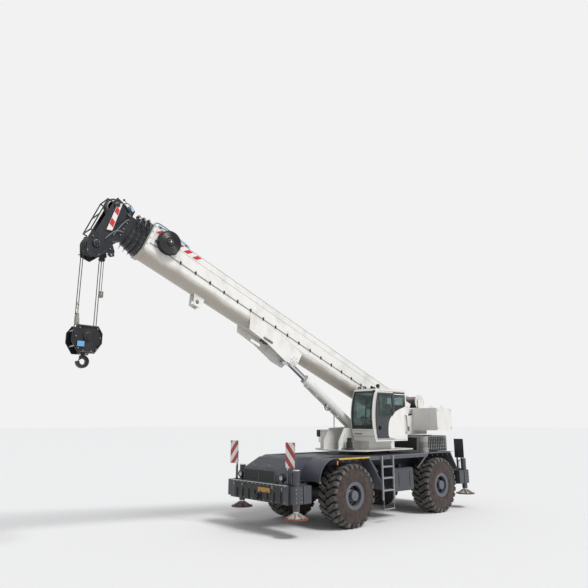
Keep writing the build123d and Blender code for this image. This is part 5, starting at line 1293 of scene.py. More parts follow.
piece(mesh, "top_pipe", "boom_base", pipe_blue, chassis_black)
# Cheek plates of the three rope guides on the boom's top.
dress(wire_rope, "boom_rope")
mesh = bmesh.new()
for u in (1.06, 5.95, 11.69):
    for y in (-0.09, 0.08):
        slab(
            mesh, [(u - 0.03, 0.828), (u + 0.08, 0.828), (u + 0.06, 0.95), (u - 0.01, 0.95)], on_boom, y,
            y + 0.01, 0
        )
piece(mesh, "rope_guide_cheeks", "boom_base", chassis_black)

# Gussets round the luffing cylinder's pin: cut plates with a bar welded along their edges, a turned
# boss and a bolted keeper on each side, and under the boom's tip a camera for watching the load.
mesh = bmesh.new()
for side in (-1, 1):
    turned(
        mesh,
        [
            (0.0, 0.16), (0.014, 0.16), (0.02, 0.15), (0.02, 0.085), (0.034, 0.085), (0.034, 0.03),
            (0.05, 0.03), (0.05, 0)
        ],
        on_boom(pin_u, pin_v, side * 0.336), (0, side, 0), 40, 0
    )
    for u, v in ring(6, 0.12):
        spot = on_boom(pin_u + u, pin_v + v, side * 0.356)
        bolt(mesh, 0.013, 0.012, spot, (0, side, 0), 1)
    for a, b in (
        ((5.68, -0.2), (5.62, 0.02)), ((5.95, -0.2), (5.78, 0.08)), ((5.62, 0.02), (6.75, 0.2)),
        ((6.75, 0.2), (7.95, 0.22))
    ):
        bent_rod(mesh, [on_boom(*a, side * 0.336), on_boom(*b, side * 0.336)], 0.008, 8)
piece(mesh, "gusset_bosses", "boom_base", off_white, zinc_plate, edge=0.0)
mesh = bmesh.new()
boom_plate(mesh, 1, [(6.82, -0.225), (7.1, -0.225), (7.1, -0.185), (6.82, -0.185)], -0.1, 0.1, 0)
for y in (-0.06, 0.06):
    turned(mesh, [(-0.1, 0.045), (0.06, 0.045), (0.06, 0.03)], on_boom(9.64, -0.4, y), (1, 0, -0.6), 20, 1)
piece(mesh, "load_camera", "boom_base", chassis_black, moulded_black)

# Hose reel: a spun steel drum in black with rings pressed into it and a bright shaft nut, wound with
# rubber hose and held off the boom's side by three stays.
reel_black = sprayed_enamel("reel_black_enamel", "#17181b", "#3c3b39", 0.35, 0.3)
dress(reel_black, "hose_reel")
mesh = bmesh.new()
reel = on_boom(11.32, 0.56, 0.5)
rings = [(0.0, 0.322)]
for radius in (0.3, 0.25, 0.2, 0.15):
    rings += [(0.014, radius + 0.008), (0.018, radius), (0.014, radius - 0.008), (0.002, radius - 0.014)]
turned(mesh, rings + [(0.002, 0.1), (0.03, 0.095), (0.034, 0.08), (0.034, 0.0)], reel, (0, 1, 0), 56, 0)
turned(mesh, [(0.034, 0.032), (0.05, 0.032), (0.054, 0.026), (0.054, 0)], reel, (0, 1, 0), 24, 1)
for across, up in ring(8, 0.07):
    spot = reel + Vector((across, 0.032, up))
    bolt(mesh, 0.008, 0.008, spot, (0, 1, 0), 1)
piece(mesh, "reel_rings", "boom_base", reel_black, zinc_plate, edge=0.0)
mesh = bmesh.new()
for k in range(6):
    turned(
        mesh, [(-0.009, 0.332), (0, 0.341), (0.009, 0.332)], reel + Vector((0, -0.155 + k * 0.027, 0)),
        (0, 1, 0), 56, 0
    )
piece(mesh, "reel_winding", "boom_base", hose_rubber, edge=0.0)
mesh = bmesh.new()
bent_rod(
    mesh,
    [
        on_boom(11.32, 0.88, 0.41), on_boom(11.6, 0.9, 0.41), on_boom(11.8, 0.92, 0.36),
        on_boom(11.88, 0.9, 0.3)
    ],
    0.012, 10, 0, 3
)
for u, v in ((11.02, 0.36), (11.05, 0.72), (11.62, 0.4)):
    boom_plate(mesh, 1, [(u, v), (u + 0.06, v), (u + 0.06, v + 0.05), (u, v + 0.05)], BOOM_SIDE, 0.5, 1)
piece(mesh, "reel_lead_and_stays", "boom_base", hose_rubber, reel_black)

# Telescoped sections, their collars and the boom head: blue-black enamel over bolted plate, rubbed
# to steel at the edges. Each collar carries rollers on top, loops of hose and bolts.
blue_black_enamel = sprayed_enamel("blue_black_enamel", "#13161e", "#3b3d42", 0.36, 0.45)
dress(blue_black_enamel, "boom_head", *[f"boom_section_{i}" for i in (2, 3, 4, 5)])
BOOM_LEAN = math.radians(22.3)
grey_hose = dusty_rubber("grey_sleeved_hose", "#8d8f92", "#5f5c56", 0.45, 0.5)
for i in (1, 2, 3):
    mesh = bmesh.new()
    reach = 11.9 + 0.15 * i - 0.055
    half = 0.32 - 0.025 * i + 0.02
    top = 0.83 - 0.035 * i + 0.02
    for side in (-1, 1):
        for v in (-0.02, 0.15, 0.32, 0.49, 0.66):
            bolt(mesh, 0.014, 0.012, on_boom(reach, v, side * half), (0, side, 0), 1)
        block(mesh, on_boom(reach, 0.3, side * (half + 0.008)), (0.012, 0.012, 0.8), 0, lean=-BOOM_LEAN)
    for y in (-0.07, 0.07):
        turned(
            mesh, [(-0.006, 0.028), (0.006, 0.028), (0.006, 0.02), (0.02, 0.02)],
            on_boom(reach, top + 0.16, y), (0, math.copysign(1, y), 0), 16, 1
        )
    piece(
        mesh, f"collar_fittings_{i + 1}", f"boom_section_{i + 1}", blue_black_enamel, zinc_plate, edge=0.0
    )
    mesh = bmesh.new()
    for k, lift in enumerate((0.62, 0.42)):
        start = half + 0.012
        bent_rod(
            mesh,
            [
                on_boom(reach - 0.04, lift, start), on_boom(reach - 0.03, lift + 0.03, start + 0.05),
                on_boom(reach, lift + 0.12, start + 0.06), on_boom(reach + 0.03, lift + 0.16, start + 0.05),
                on_boom(reach + 0.04, lift + 0.18, start)
            ],
            0.013, 10, k, 3
        )
    piece(mesh, f"collar_hoses_{i + 1}", f"boom_section_{i + 1}", grey_hose, hose_rubber, edge=0.0)
HEAD_SIDE = 0.284
SHEAVE_PITCH = 0.08
SHEAVE_AXLES = [  # lengths along and up the boom, radius of the pin's cover, sheaves on it
    (12.98, -0.56, 0.1, 5),
    (12.98, 0.69, 0.09, 2),
]
mesh = bmesh.new()
# Striped warning panel on the left head plate: a white sheet with two red bands.
panel = [(12.9, 0.8), (13.01, 0.72), (12.94, -0.09), (12.8, -0.03)]
boom_plate(mesh, 1, panel, HEAD_SIDE, HEAD_SIDE + 0.02, 0)
for low, high in ((0.47, 0.64), (0.1, 0.28)):
    outline = []
    for v, drop in ((low, 0), (low, 1), (high, 1), (high, 0)):
        along_panel = (v + 0.06) / 0.86
        near_u, far_u = 12.8 + 0.1 * along_panel, 12.945 + 0.065 * along_panel
        outline.append((near_u + 0.003 if drop == 0 else far_u - 0.003, v - 0.05 * (1 - drop)))
    boom_plate(mesh, 1, outline, HEAD_SIDE + 0.02, HEAD_SIDE + 0.023, 1)
piece(mesh, "head_warning_panel", "boom_section_5", off_white, red_tape, edge=0.0)
mesh = bmesh.new()
for side in (-1, 1):
    for u, v, radius, _ in SHEAVE_AXLES:
        turned(
            mesh,
            [
                (0, radius), (0.012, radius), (0.016, radius - 0.008), (0.016, 0.05), (0.04, 0.05),
                (0.04, 0.03), (0.05, 0.03), (0.05, 0)
            ],
            on_boom(u, v, side * HEAD_SIDE), (0, side, 0), 32, 0
        )
        for du, dv in ring(6, radius - 0.025):
            spot = on_boom(u + du, v + dv, side * (HEAD_SIDE + 0.014))
            bolt(mesh, 0.009, 0.012, spot, (0, side, 0), 1)
    for u, v in (
        (12.56, 0.6), (12.56, 0.4), (12.56, 0.2), (12.56, 0.0), (12.62, -0.5), (12.8, -0.8), (13.1, -0.85),
        (13.15, -0.45)
    ):
        bolt(mesh, 0.017, 0.013, on_boom(u, v, side * HEAD_SIDE), (0, side, 0), 1)
    # Stiffening bars on the plate's edge, and a lug at the lower rear for the outreach tackle.
    for a, b in (
        ((12.53, 0.66), (12.8, 0.8)), ((12.53, -0.2), (12.66, -0.3)), ((12.68, -0.6), (12.82, -0.87)),
        ((12.82, -0.87), (13.04, -0.88))
    ):
        bent_rod(mesh, [on_boom(*a, side * HEAD_SIDE), on_boom(*b, side * HEAD_SIDE)], 0.014, 8, 0)
    boom_plate(
        mesh, side, [(12.47, -0.56), (12.6, -0.6), (12.62, -0.68), (12.52, -0.7), (12.44, -0.62)],
        HEAD_SIDE, HEAD_SIDE + 0.02, 0
    )
    turned(
        mesh, [(0, 0.028), (0.012, 0.028), (0.012, 0.014)],
        on_boom(12.53, -0.63, side * (HEAD_SIDE + 0.02)), (0, side, 0), 20, 1
    )
piece(mesh, "head_pins_and_lugs", "boom_section_5", blue_black_enamel, zinc_plate, edge=0.0)
mesh = bmesh.new()
for k, (start, middle, end) in enumerate(
    (
        ((12.53, 0.55), (12.7, 0.45), (12.78, 0.25)), ((12.53, 0.5), (12.66, 0.3), (12.72, -0.1)),
        ((12.55, 0.72), (12.72, 0.9), (12.86, 0.86)), ((12.53, 0.1), (12.75, 0.0), (12.85, -0.3))
    )
):
    y = HEAD_SIDE + 0.01
    bent_rod(
        mesh,
        [
            on_boom(*start, y), on_boom(start[0] + 0.05, start[1], y + 0.03), on_boom(*middle, y + 0.04),
            on_boom(*end, y + 0.02), on_boom(end[0], end[1] - 0.03, y)
        ],
        0.011, 10, k % 2, 3
    )
piece(mesh, "head_hoses", "boom_section_5", hose_rubber, grey_hose, edge=0.0)
# Work lamp, wind sensor and a pale blue junction box on the head's top edge.
mesh = bmesh.new()
slab(mesh, [(12.56, 0.78), (12.72, 0.86), (12.69, 0.95), (12.53, 0.87)], on_boom, 0.14, 0.27, 0)
bent_rod(
    mesh, [on_boom(12.8, 0.86, 0.24), on_boom(12.8, 0.93, 0.24), on_boom(12.9, 0.965, 0.24)], 0.007, 8, 1, 1
)
turned(mesh, [(-0.02, 0.03), (0.02, 0.03), (0.02, 0.0)], on_boom(12.9, 0.955, 0.24), (0, 0, 1), 16, 1)
turned(
    mesh, [(0, 0.06), (0.05, 0.065), (0.055, 0.06), (0.055, 0.0)], on_boom(12.6, 0.66, 0.33),
    (0.6, 0.1, -0.8), 24, 1
)
turned(mesh, [(0.055, 0.055), (0.058, 0.0)], on_boom(12.6, 0.66, 0.33), (0.6, 0.1, -0.8), 24, 2)
piece(mesh, "head_sensors", "boom_section_5", pipe_blue, moulded_black, clear_lens)
# Cast nylon sheaves: dark, and paler where the rope has worn them, a plated ring on each side.
cast_nylon, tree, here, surface = blank_material("cast_nylon_sheave")
wear = node(tree, "TexNoise", {"Vector": here, "Scale": 14.0, "Detail": 5.0})
tint = node(
    tree, "Mix", {"Factor": wear.outputs["Fac"], 6: colour("#25272b"), 7: colour("#5a5a57")},
    data_type="RGBA"
)
fill(surface, {"Base Color": tint.outputs[2], "Roughness": 0.45})
dress(cast_nylon, "head_sheaves", "block_sheaves")
mesh = bmesh.new()
for u, v, _, count in SHEAVE_AXLES:
    for row in range(count):
        y = (row - (count - 1) / 2) * SHEAVE_PITCH
        for side in (-1, 1):
            turned(
                mesh, [(0.028, 0.2), (0.031, 0.195), (0.031, 0.185), (0.028, 0.18)], on_boom(u, v, y),
                (0, side, 0), 36, 0
            )
piece(mesh, "sheave_rims", "boom_section_5", zinc_plate, edge=0.0)

# Hook block: two burned plates with bars round their edges and bolts, the sheaves between them, a
# blank blue plate where the real one has writing, and one fall ended in a wedge socket.
block_black = sprayed_enamel("hook_block_enamel", "#15171b", "#3a3a3a", 0.38, 0.4)
dress(block_black, "hook_block")
blue_plate = sprayed_enamel("blank_blue_plate", "#6aa6d8", "#5b86a8", 0.35, 0.3)
hang = on_boom(*SHEAVE_AXLES[0][:2])
mesh = bmesh.new()
rim = [
    (-0.25, 5.44), (0.25, 5.44), (0.37, 5.26), (0.37, 5.01), (0.2, 4.75), (-0.2, 4.75), (-0.37, 5.01),
    (-0.37, 5.26)
]
for side in (-1, 1):
    face_y = 0.26
    shrunk = [(a * 0.93, 5.1 + (b - 5.1) * 0.93) for a, b in rim]
    for (a, b), (c, d) in zip(shrunk, shrunk[1:] + shrunk[:1]):
        bent_rod(mesh, [(hang.x + a, side * face_y, b), (hang.x + c, side * face_y, d)], 0.012, 8, 0)
    turned(
        mesh, [(0, 0.11), (0.014, 0.11), (0.018, 0.1), (0.018, 0.055), (0.036, 0.055), (0.036, 0.0)],
        (hang.x, side * face_y, 5.16), (0, side, 0), 36, 0
    )
    for a, b in (
        (-0.22, 5.36), (0.22, 5.36), (-0.3, 5.14), (0.3, 5.14), (-0.22, 4.86), (0.22, 4.86), (-0.1, 4.8),
        (0.1, 4.8)
    ):
        bolt(mesh, 0.017, 0.013, (hang.x + a, side * face_y, b), (0, side, 0), 1)
    slab(
        mesh, [(0.08, 4.9), (0.25, 4.9), (0.25, 5.03), (0.08, 5.03)],
        lambda a, b, depth: Vector((hang.x + a, side * depth, b)), face_y, face_y + 0.006, 2
    )
    for a in (0.095, 0.235):
        for b in (4.915, 5.015):
            turned(
                mesh, [(0, 0.006), (0.004, 0.006)], (hang.x + a, side * (face_y + 0.006), b), (0, side, 0),
                10, 1
            )
for x in (-0.3, 0.3):
    turned(mesh, [(-0.23, 0.022), (0.23, 0.022)], (hang.x + x, 0, 5.3), (0, 1, 0), 16, 1)
    turned(mesh, [(-0.23, 0.022), (0.23, 0.022)], (hang.x + x * 0.9, 0, 4.93), (0, 1, 0), 16, 1)
piece(mesh, "block_fittings", "hook_block", block_black, zinc_plate, blue_plate, edge=0.0)
mesh = bmesh.new()
fall_x, fall_y = hang.x + 0.2413, SHEAVE_PITCH
for low, high, wide, deep in ((5.44, 5.62, 0.11, 0.07), (5.62, 5.74, 0.07, 0.055)):
    slab(
        mesh, [(-wide / 2, low), (wide / 2, low), (wide * 0.36, high), (-wide * 0.36, high)],
        lambda a, b, depth: Vector((fall_x + a, fall_y + depth, b)), -deep / 2, deep / 2, 0
    )
turned(mesh, [(-0.06, 0.016), (0.06, 0.016), (0.06, 0.0)], (fall_x, fall_y, 5.5), (0, 1, 0), 16, 0)
bent_rod(
    mesh,
    [
        (fall_x + 0.03, fall_y, 5.7), (fall_x + 0.06, fall_y, 5.78), (fall_x + 0.05, fall_y, 5.92),
        (fall_x + 0.03, fall_y, 6.0)
    ],
    0.011, 10, 1, 2
)
for z in (5.86, 5.95):
    block(mesh, (fall_x + 0.02, fall_y, z), (0.07, 0.05, 0.018), 0)
piece(mesh, "wedge_socket", "hook_block", zinc_plate, wire_rope)
forged_black = sprayed_enamel("forged_hook_enamel", "#1b1c1f", "#4d4844", 0.42, 0.5)
dress(forged_black, "hook")
mesh = bmesh.new()
turned(mesh, [(0.0, 0.05), (0.01, 0.075), (0.05, 0.08), (0.06, 0.05)], (hang.x, 0, 4.63), (0, 0, 1), 28, 0)
# Safety latch: a pressed strip hinged below the shank that closes the hook's mouth.
slab(
    mesh, [(0.03, 4.67), (0.05, 4.675), (0.14, 4.52), (0.125, 4.51)],
    lambda a, b, depth: Vector((hang.x + a, depth, b)), -0.028, 0.028, 1
)
turned(mesh, [(-0.034, 0.014), (0.034, 0.014)], (hang.x + 0.04, 0, 4.665), (0, 1, 0), 14, 1)
piece(mesh, "hook_latch", "hook", forged_black, zinc_plate, edge=0.001)
# Hoist limit weight: a cast collar round one fall of the rope, with two plated bands.
dress(chassis_black, "hoist_limit_weight")
mesh = bmesh.new()
weight = Vector((hang.x - 0.345, -0.04, 6.32))
turned(
    mesh,
    [
        (-0.08, 0.02), (-0.075, 0.052), (-0.04, 0.058), (0.0, 0.06), (0.04, 0.058), (0.075, 0.052),
        (0.08, 0.02)
    ],
    weight, (0, 0, 1), 28, 0
)
for z in (-0.05, 0.05):
    turned(
        mesh, [(-0.006, 0.058), (0.0, 0.064), (0.006, 0.058)], weight + Vector((0, 0, z)), (0, 0, 1), 28, 1
    )
piece(mesh, "limit_weight_bands", "hoist_hanger", zinc_plate, chassis_black, edge=0.0)

# Falls of the hoist rope: four taut runs of greased wire rope between the lower head sheaves and the
# block. The real rope runs on over the sheaves, so the falls grow and shrink as the block moves.
low, high = (Vector(corner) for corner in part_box("hoist_ropes"))
rope_radius = 0.011
mesh = bmesh.new()
for x in (low.x + rope_radius, high.x - rope_radius):
    for y in (low.y + rope_radius, high.y - rope_radius):
        bent_rod(mesh, [(x, y, low.z), (x, y, high.z)], rope_radius, 12)
rope_falls = piece(mesh, "rope_falls", None, wire_rope, edge=0.0)
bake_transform(rope_falls)
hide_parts("hoist_ropes")

# Cab: pressed and welded shell, sprayed off-white, its glass bonded behind black gaskets. A dark
# sliding door with a white curved foot panel; black trim below the front window.
dress(off_white, "cab_shell")
door_grey = sprayed_enamel("door_enamel", "#393c41", "#504f4b", 0.38, 0.25)
dress(door_grey, "cab_door")
tinted_glass, tree, here, surface = blank_material("tinted_float_glass")
haze = node(tree, "TexNoise", {"Vector": here, "Scale": 5.0, "Detail": 4.0})
film = node(tree, "MapRange", {"Value": haze.outputs["Fac"], "To Min": 0.0, "To Max": 0.05})
tint = node(
    tree, "Mix", {"Factor": haze.outputs["Fac"], 6: colour("#bcd2cf"), 7: colour("#a3bbb8")},
    data_type="RGBA"
)
fill(
    surface,
    {
        "Base Color": tint.outputs[2], "Roughness": film.outputs["Result"], "Transmission Weight": 0.95,
        "IOR": 1.45
    }
)
dress(tinted_glass, "cab_glass", "door_glass")
CAB_SIDE = 1.42
CAB_INSIDE = 0.44
# The cab's front is an arc through its lower corner, its belly and its roof's edge.
(low_x, low_z), (mid_x, mid_z), (top_x, top_z) = (0.98, 2.5), (1.13, 3.2), (0.9, 4.23)
square_low, square_mid, square_top = low_x**2 + low_z**2, mid_x**2 + mid_z**2, top_x**2 + top_z**2
twice_area = 2 * (low_x * (mid_z - top_z) + mid_x * (top_z - low_z) + top_x * (low_z - mid_z))
arc_x = (
    square_low * (mid_z - top_z) + square_mid * (top_z - low_z) + square_top * (low_z - mid_z)
) / twice_area
arc_z = (
    square_low * (top_x - mid_x) + square_mid * (low_x - top_x) + square_top * (mid_x - low_x)
) / twice_area
arc_radius = math.hypot(low_x - arc_x, low_z - arc_z)


def cab_nose(z, proud=0.0):
    """How far forward the cab's front lies at a height, proud metres outside it."""
    return arc_x + math.sqrt((arc_radius + proud) ** 2 - (z - arc_z) ** 2)


def nose_plate(mesh, y0, y1, z0, z1, proud, finish=0, rows=12, back=-0.002):
    """Plate that follows the cab's front between two widths and two heights."""
    grid = []
    for k in range(rows + 1):
        z = z0 + (z1 - z0) * k / rows
        grid.append(
            [
                mesh.verts.new(
                    from_slew(cab_nose(z, depth), y, z)
                ) for depth in (back, proud) for y in (y0, y1)
            ]
        )
    for below, above in zip(grid, grid[1:]):
        for a, b in ((0, 1), (1, 3), (3, 2), (2, 0)):
            mesh.faces.new((below[a], below[b], above[b], above[a])).material_index = finish
    for end in (grid[0], grid[-1]):
        mesh.faces.new((end[0], end[1], end[3], end[2])).material_index = finish


def gasket(mesh, corners, radius=0.013, finish=0):
    """Rubber bead pressed round an opening, a closed line through its corners."""
    closed = corners + corners[:1]
    for a, b in zip(closed, closed[1:]):
        bent_rod(mesh, [a, b], radius, 8, finish)


mesh = bmesh.new()
# Front window: black ceramic border outside the bead, wider below, where the trim panel is.
for y0, y1, z0, z1 in (
    (0.47, 1.385, 2.9, 3.012), (0.47, 1.385, 4.118, 4.16), (0.47, 0.532, 3.012, 4.118),
    (1.328, 1.385, 3.012, 4.118)
):
    nose_plate(mesh, y0, y1, z0, z1, 0.006, 0)
for y in (0.53, 1.33):
    bent_rod(
        mesh, [from_slew(cab_nose(3.01 + 1.11 * k / 10), y, 3.01 + 1.11 * k / 10) for k in range(11)],
        0.012, 8, 1, 0
    )
for z in (3.01, 4.12):
    bent_rod(mesh, [from_slew(cab_nose(z), 0.53, z), from_slew(cab_nose(z), 1.33, z)], 0.012, 8, 1, 0)
# Rear side, back, right side and roof windows.
# The bead beside the door is thin, because the door slides past it.
for x0, x1, y, z0, z1, bead in (
    (-0.59, -0.04, CAB_SIDE, 3.7, 4.08, 0.006), (-0.55, 0.86, CAB_INSIDE, 3.25, 4.06, 0.013)
):
    gasket(mesh, [from_slew(x, y, z) for x, z in ((x0, z0), (x1, z0), (x1, z1), (x0, z1))], bead, 1)
gasket(
    mesh,
    [
        from_slew(-0.7, 0.56, 3.45), from_slew(-0.7, 1.3, 3.45), from_slew(-0.7, 1.3, 4.0),
        from_slew(-0.7, 0.56, 4.0)
    ],
    0.013, 1
)
gasket(
    mesh,
    [
        from_slew(0.08, 0.56, 4.23), from_slew(0.72, 0.56, 4.23), from_slew(0.72, 1.3, 4.23),
        from_slew(0.08, 1.3, 4.23)
    ],
    0.013, 1
)
# Black glazing surround on the door's side, behind the door, down to the white panel's curve.
for outline in (
    [(-0.64, 4.08), (0.02, 4.08), (0.02, 4.14), (-0.6, 4.14), (-0.64, 4.1)],
    [(-0.64, 3.66), (-0.59, 3.645), (-0.59, 4.08), (-0.64, 4.08)],
    [(-0.04, 3.46), (0.02, 3.42), (0.02, 4.08), (-0.04, 4.08)],
    [(-0.59, 3.645), (-0.27, 3.555), (-0.04, 3.46), (-0.04, 3.7), (-0.59, 3.7)]
):
    slab(mesh, outline, lambda a, b, depth: from_slew(a, depth, b), CAB_SIDE - 0.002, CAB_SIDE + 0.004, 0)
piece(mesh, "window_gaskets", "cab", moulded_black, hose_rubber, edge=0.0)

# On the cab's shell: sealed seams between its pressings, bent grab rails, and a smoked beacon, a
# horn and lamps in black mouldings bolted to the roof.
mesh = bmesh.new()
for back in (0.045, 0.1):
    bent_rod(
        mesh,
        [
            from_slew(
                cab_nose(2.56 + 1.58 * k / 12) - back, CAB_SIDE + 0.001, 2.56 + 1.58 * k / 12
            ) for k in range(13)
        ],
        0.004, 6, 0, 0
    )
for z in (2.545, 4.16):
    bent_rod(
        mesh,
        [from_slew(-0.66, CAB_SIDE + 0.001, z), from_slew(0.95 if z < 3 else 0.82, CAB_SIDE + 0.001, z)],
        0.004, 6
    )
for z in (2.66, 2.84):
    bent_rod(
        mesh, [from_slew(cab_nose(z, 0.001), 0.46, z), from_slew(cab_nose(z, 0.001), 1.4, z)], 0.004, 6
    )
for y in (0.48, 1.38):
    bent_rod(mesh, [from_slew(-0.62, y, 4.232), from_slew(0.86, y, 4.232)], 0.005, 6)
piece(mesh, "shell_seams", "cab", hose_rubber, edge=0.0)
mesh = bmesh.new()
bent_rod(
    mesh,
    [
        from_slew(-0.62, CAB_SIDE, 2.75), from_slew(-0.62, CAB_SIDE + 0.06, 2.75),
        from_slew(-0.62, CAB_SIDE + 0.06, 3.35), from_slew(-0.62, CAB_SIDE, 3.35)
    ],
    0.014, 12, 0, 2
)
bent_rod(
    mesh,
    [
        from_slew(cab_nose(2.74), 0.56, 2.74), from_slew(cab_nose(2.74) + 0.05, 0.56, 2.74),
        from_slew(cab_nose(2.74) + 0.05, 0.86, 2.74), from_slew(cab_nose(2.74), 0.86, 2.74)
    ],
    0.012, 12, 0, 2
)
# Smoked beacon on a stalk at the roof's front corner, over a work lamp.
beacon = from_slew(0.7, 1.33, 4.225)
turned(
    mesh,
    [
        (0, 0.05), (0.02, 0.05), (0.025, 0.02), (0.05, 0.02), (0.05, 0.062), (0.08, 0.066), (0.14, 0.06),
        (0.165, 0.035), (0.168, 0.0)
    ],
    beacon, (0, 0, 1), 28, 0
)
lamp = from_slew(0.93, 1.36, 4.13)
turned(
    mesh, [(-0.06, 0.02), (-0.03, 0.05), (0.03, 0.055), (0.034, 0.05), (0.03, 0.0)], lamp, (1, 0, -0.15),
    24, 0
)
for y in (0.62, 0.86):
    lamp = from_slew(0.84, y, 4.27)
    bent_rod(mesh, [lamp + Vector((-0.03, 0, -0.05)), lamp], 0.012, 8, 0)
    turned(
        mesh, [(-0.05, 0.02), (-0.03, 0.06), (0.03, 0.065), (0.035, 0.06), (0.028, 0.055)], lamp,
        (1, 0, -0.12), 24, 0
    )
    turned(mesh, [(0.026, 0.058), (0.032, 0.03), (0.034, 0.0)], lamp, (1, 0, -0.12), 24, 2)
horn = from_slew(0.79, 1.18, 4.27)
turned(
    mesh,
    [(-0.1, 0.03), (-0.02, 0.03), (0.02, 0.04), (0.06, 0.062), (0.062, 0.058), (0.0, 0.02), (0.0, 0.0)],
    horn, (1, 0, 0), 24, 0
)
block(mesh, horn + Vector((-0.05, 0, -0.03)), (0.05, 0.04, 0.03), 0)
piece(mesh, "cab_lamps_and_rails", "cab", moulded_black, amber_lens, clear_lens, edge=0.0)
mesh = bmesh.new()
# Wiper arms, parked upright at the window's left edge and across the roof glass.
pivot_z = 2.965
wipe = [(1.1, 2.965), (1.1, 3.2), (1.12, 3.55), (1.13, 3.6)]
bent_rod(mesh, [from_slew(cab_nose(z, 0.02 + 0.012 * (z < 3)), y, z) for y, z in wipe], 0.008, 8, 0, 1)
nose_plate(mesh, 1.118, 1.134, 3.22, 3.85, 0.022, 0, 14, 0.002)
turned(
    mesh, [(0, 0.03), (0.02, 0.03), (0.028, 0.02), (0.028, 0)], from_slew(cab_nose(pivot_z), 1.1, pivot_z),
    (1, 0, 0), 16, 0
)
bent_rod(
    mesh, [from_slew(0.78, 0.93, 4.245), from_slew(0.4, 0.93, 4.262), from_slew(0.36, 0.93, 4.255)], 0.008,
    8, 0, 1
)
bent_rod(mesh, [from_slew(0.36, 0.66, 4.248), from_slew(0.36, 1.2, 4.248)], 0.009, 8, 0, 0)
piece(mesh, "wipers", "cab", moulded_black, edge=0.0)

# Door furniture: a white foot panel sealed round its curve, the window's rubber bead, a pull handle
# in a round moulded recess, and the door's roller studs.
mesh = bmesh.new()
foot_panel = [
    (0.022, 3.43), (0.08, 3.395), (0.2, 3.32), (0.3, 3.22), (0.36, 3.1), (0.39, 2.95), (0.4, 2.75),
    (0.385, 2.66), (0.34, 2.615), (0.27, 2.602), (0.022, 2.602)
]
slab(mesh, foot_panel, lambda a, b, depth: from_slew(a, depth, b), CAB_SIDE + 0.012, CAB_SIDE + 0.047, 0)
for (a, b), (c, d) in zip(foot_panel[:-1], foot_panel[1:-1]):
    bent_rod(mesh, [from_slew(a, CAB_SIDE + 0.044, b), from_slew(c, CAB_SIDE + 0.044, d)], 0.006, 6, 1)
x0, x1, z0, z1 = 0.13, 0.83, 3.33, 4.04
gasket(
    mesh, [from_slew(x, CAB_SIDE + 0.042, z) for x, z in ((x0, z0), (x1, z0), (x1, z1), (x0, z1))], 0.011, 1
)
handle = from_slew(0.82, CAB_SIDE + 0.042, 2.94)
turned(
    mesh, [(0.0, 0.075), (0.005, 0.075), (0.005, 0.062), (-0.01, 0.055), (-0.01, 0.0)], handle, (0, 1, 0),
    28, 1
)
bent_rod(
    mesh,
    [
        handle + Vector((0, 0.0, -0.05)), handle + Vector((0, 0.028, -0.045)),
        handle + Vector((0, 0.028, 0.045)), handle + Vector((0, 0.0, 0.05))
    ],
    0.011, 10, 2, 2
)
for z in (2.64, 4.06):
    for x in (0.45, 0.8):
        turned(
            mesh, [(0.0, 0.012), (0.005, 0.012), (0.005, 0.0)], from_slew(x, CAB_SIDE + 0.042, z),
            (0, 1, 0), 12, 2
        )
piece(mesh, "door_panel_and_handle", "cab_door", off_white, hose_rubber, moulded_black, edge=0.0)

# Operator's seat: foam cushions in woven cloth over a sprung steel base, seen through the glass.
# The cushions are crowned and sewn along two channels.
woven_cloth, tree, here, surface = blank_material("woven_seat_cloth")
# Threads are 0.5 mm apart, drawn 5 mm apart so that the weave shows.
warp = node(tree, "TexWave", {"Vector": here, "Scale": 1 / 0.005 / 6.28}, bands_direction="X")
weft = node(tree, "TexWave", {"Vector": here, "Scale": 1 / 0.005 / 6.28}, bands_direction="Z")
weave = node(tree, "Math", {0: warp.outputs["Fac"], 1: weft.outputs["Fac"]}, operation="MULTIPLY")
tint = node(
    tree, "Mix", {"Factor": weave.outputs[0], 6: colour("#2a2d33"), 7: colour("#565b63")}, data_type="RGBA"
)
bumps = node(tree, "Bump", {"Height": weave.outputs[0], "Strength": 0.3, "Distance": 0.001})
fill(
    surface,
    {
        "Base Color": tint.outputs[2], "Roughness": 0.85, "Sheen Weight": 0.25,
        "Normal": bumps.outputs["Normal"]
    }
)


def seat_cushion(name, centre, size, crown_axis):
    """Crowned closed cushion: full in the middle, pulled in along its sides, two sewn channels."""
    mesh = bmesh.new()
    bmesh.ops.create_cube(mesh, size=2.0)
    bmesh.ops.subdivide_edges(mesh, edges=mesh.edges[:], cuts=13, use_grid_fill=True)
    flat_axes = [i for i in range(3) if i != crown_axis]
    for vert in mesh.verts:
        p = vert.co.copy()
        spread = sum(abs(c) ** 5 for c in p) ** 0.2
        p /= spread
        a, b = (p[i] for i in flat_axes)
        fullness = (1 - a * a) * (1 - b * b)
        p[crown_axis] *= 0.72 + 0.28 * fullness
        for channel in (-0.42, 0.42):
            p[crown_axis] *= 1 - 0.14 * math.exp(-(((p[1] - channel) / 0.05) ** 2))
        for i in flat_axes:
            p[i] *= 1 - 0.03 * (1 - abs(p[crown_axis])) * (1 - abs(p[flat_axes[0] + flat_axes[1] - i]))
        vert.co = Vector(centre) + Vector([p[i] * size[i] / 2 for i in range(3)])
    made = piece(mesh, name, "cab", woven_cloth, edge=0.0)
    smooth = made.modifiers.new("smooth", "SUBSURF")
    smooth.levels = smooth.render_levels = 1
    return made


seat = seat_cushion("seat_cushion", from_slew(-0.02, 0.93, 2.98), (0.52, 0.51, 0.13), 2)
back_rest = seat_cushion("seat_back", from_slew(-0.28, 0.93, 3.29), (0.12, 0.48, 0.6), 0)
head_rest = seat_cushion("seat_head_rest", from_slew(-0.27, 0.93, 3.67), (0.09, 0.28, 0.17), 0)
mesh = bmesh.new()
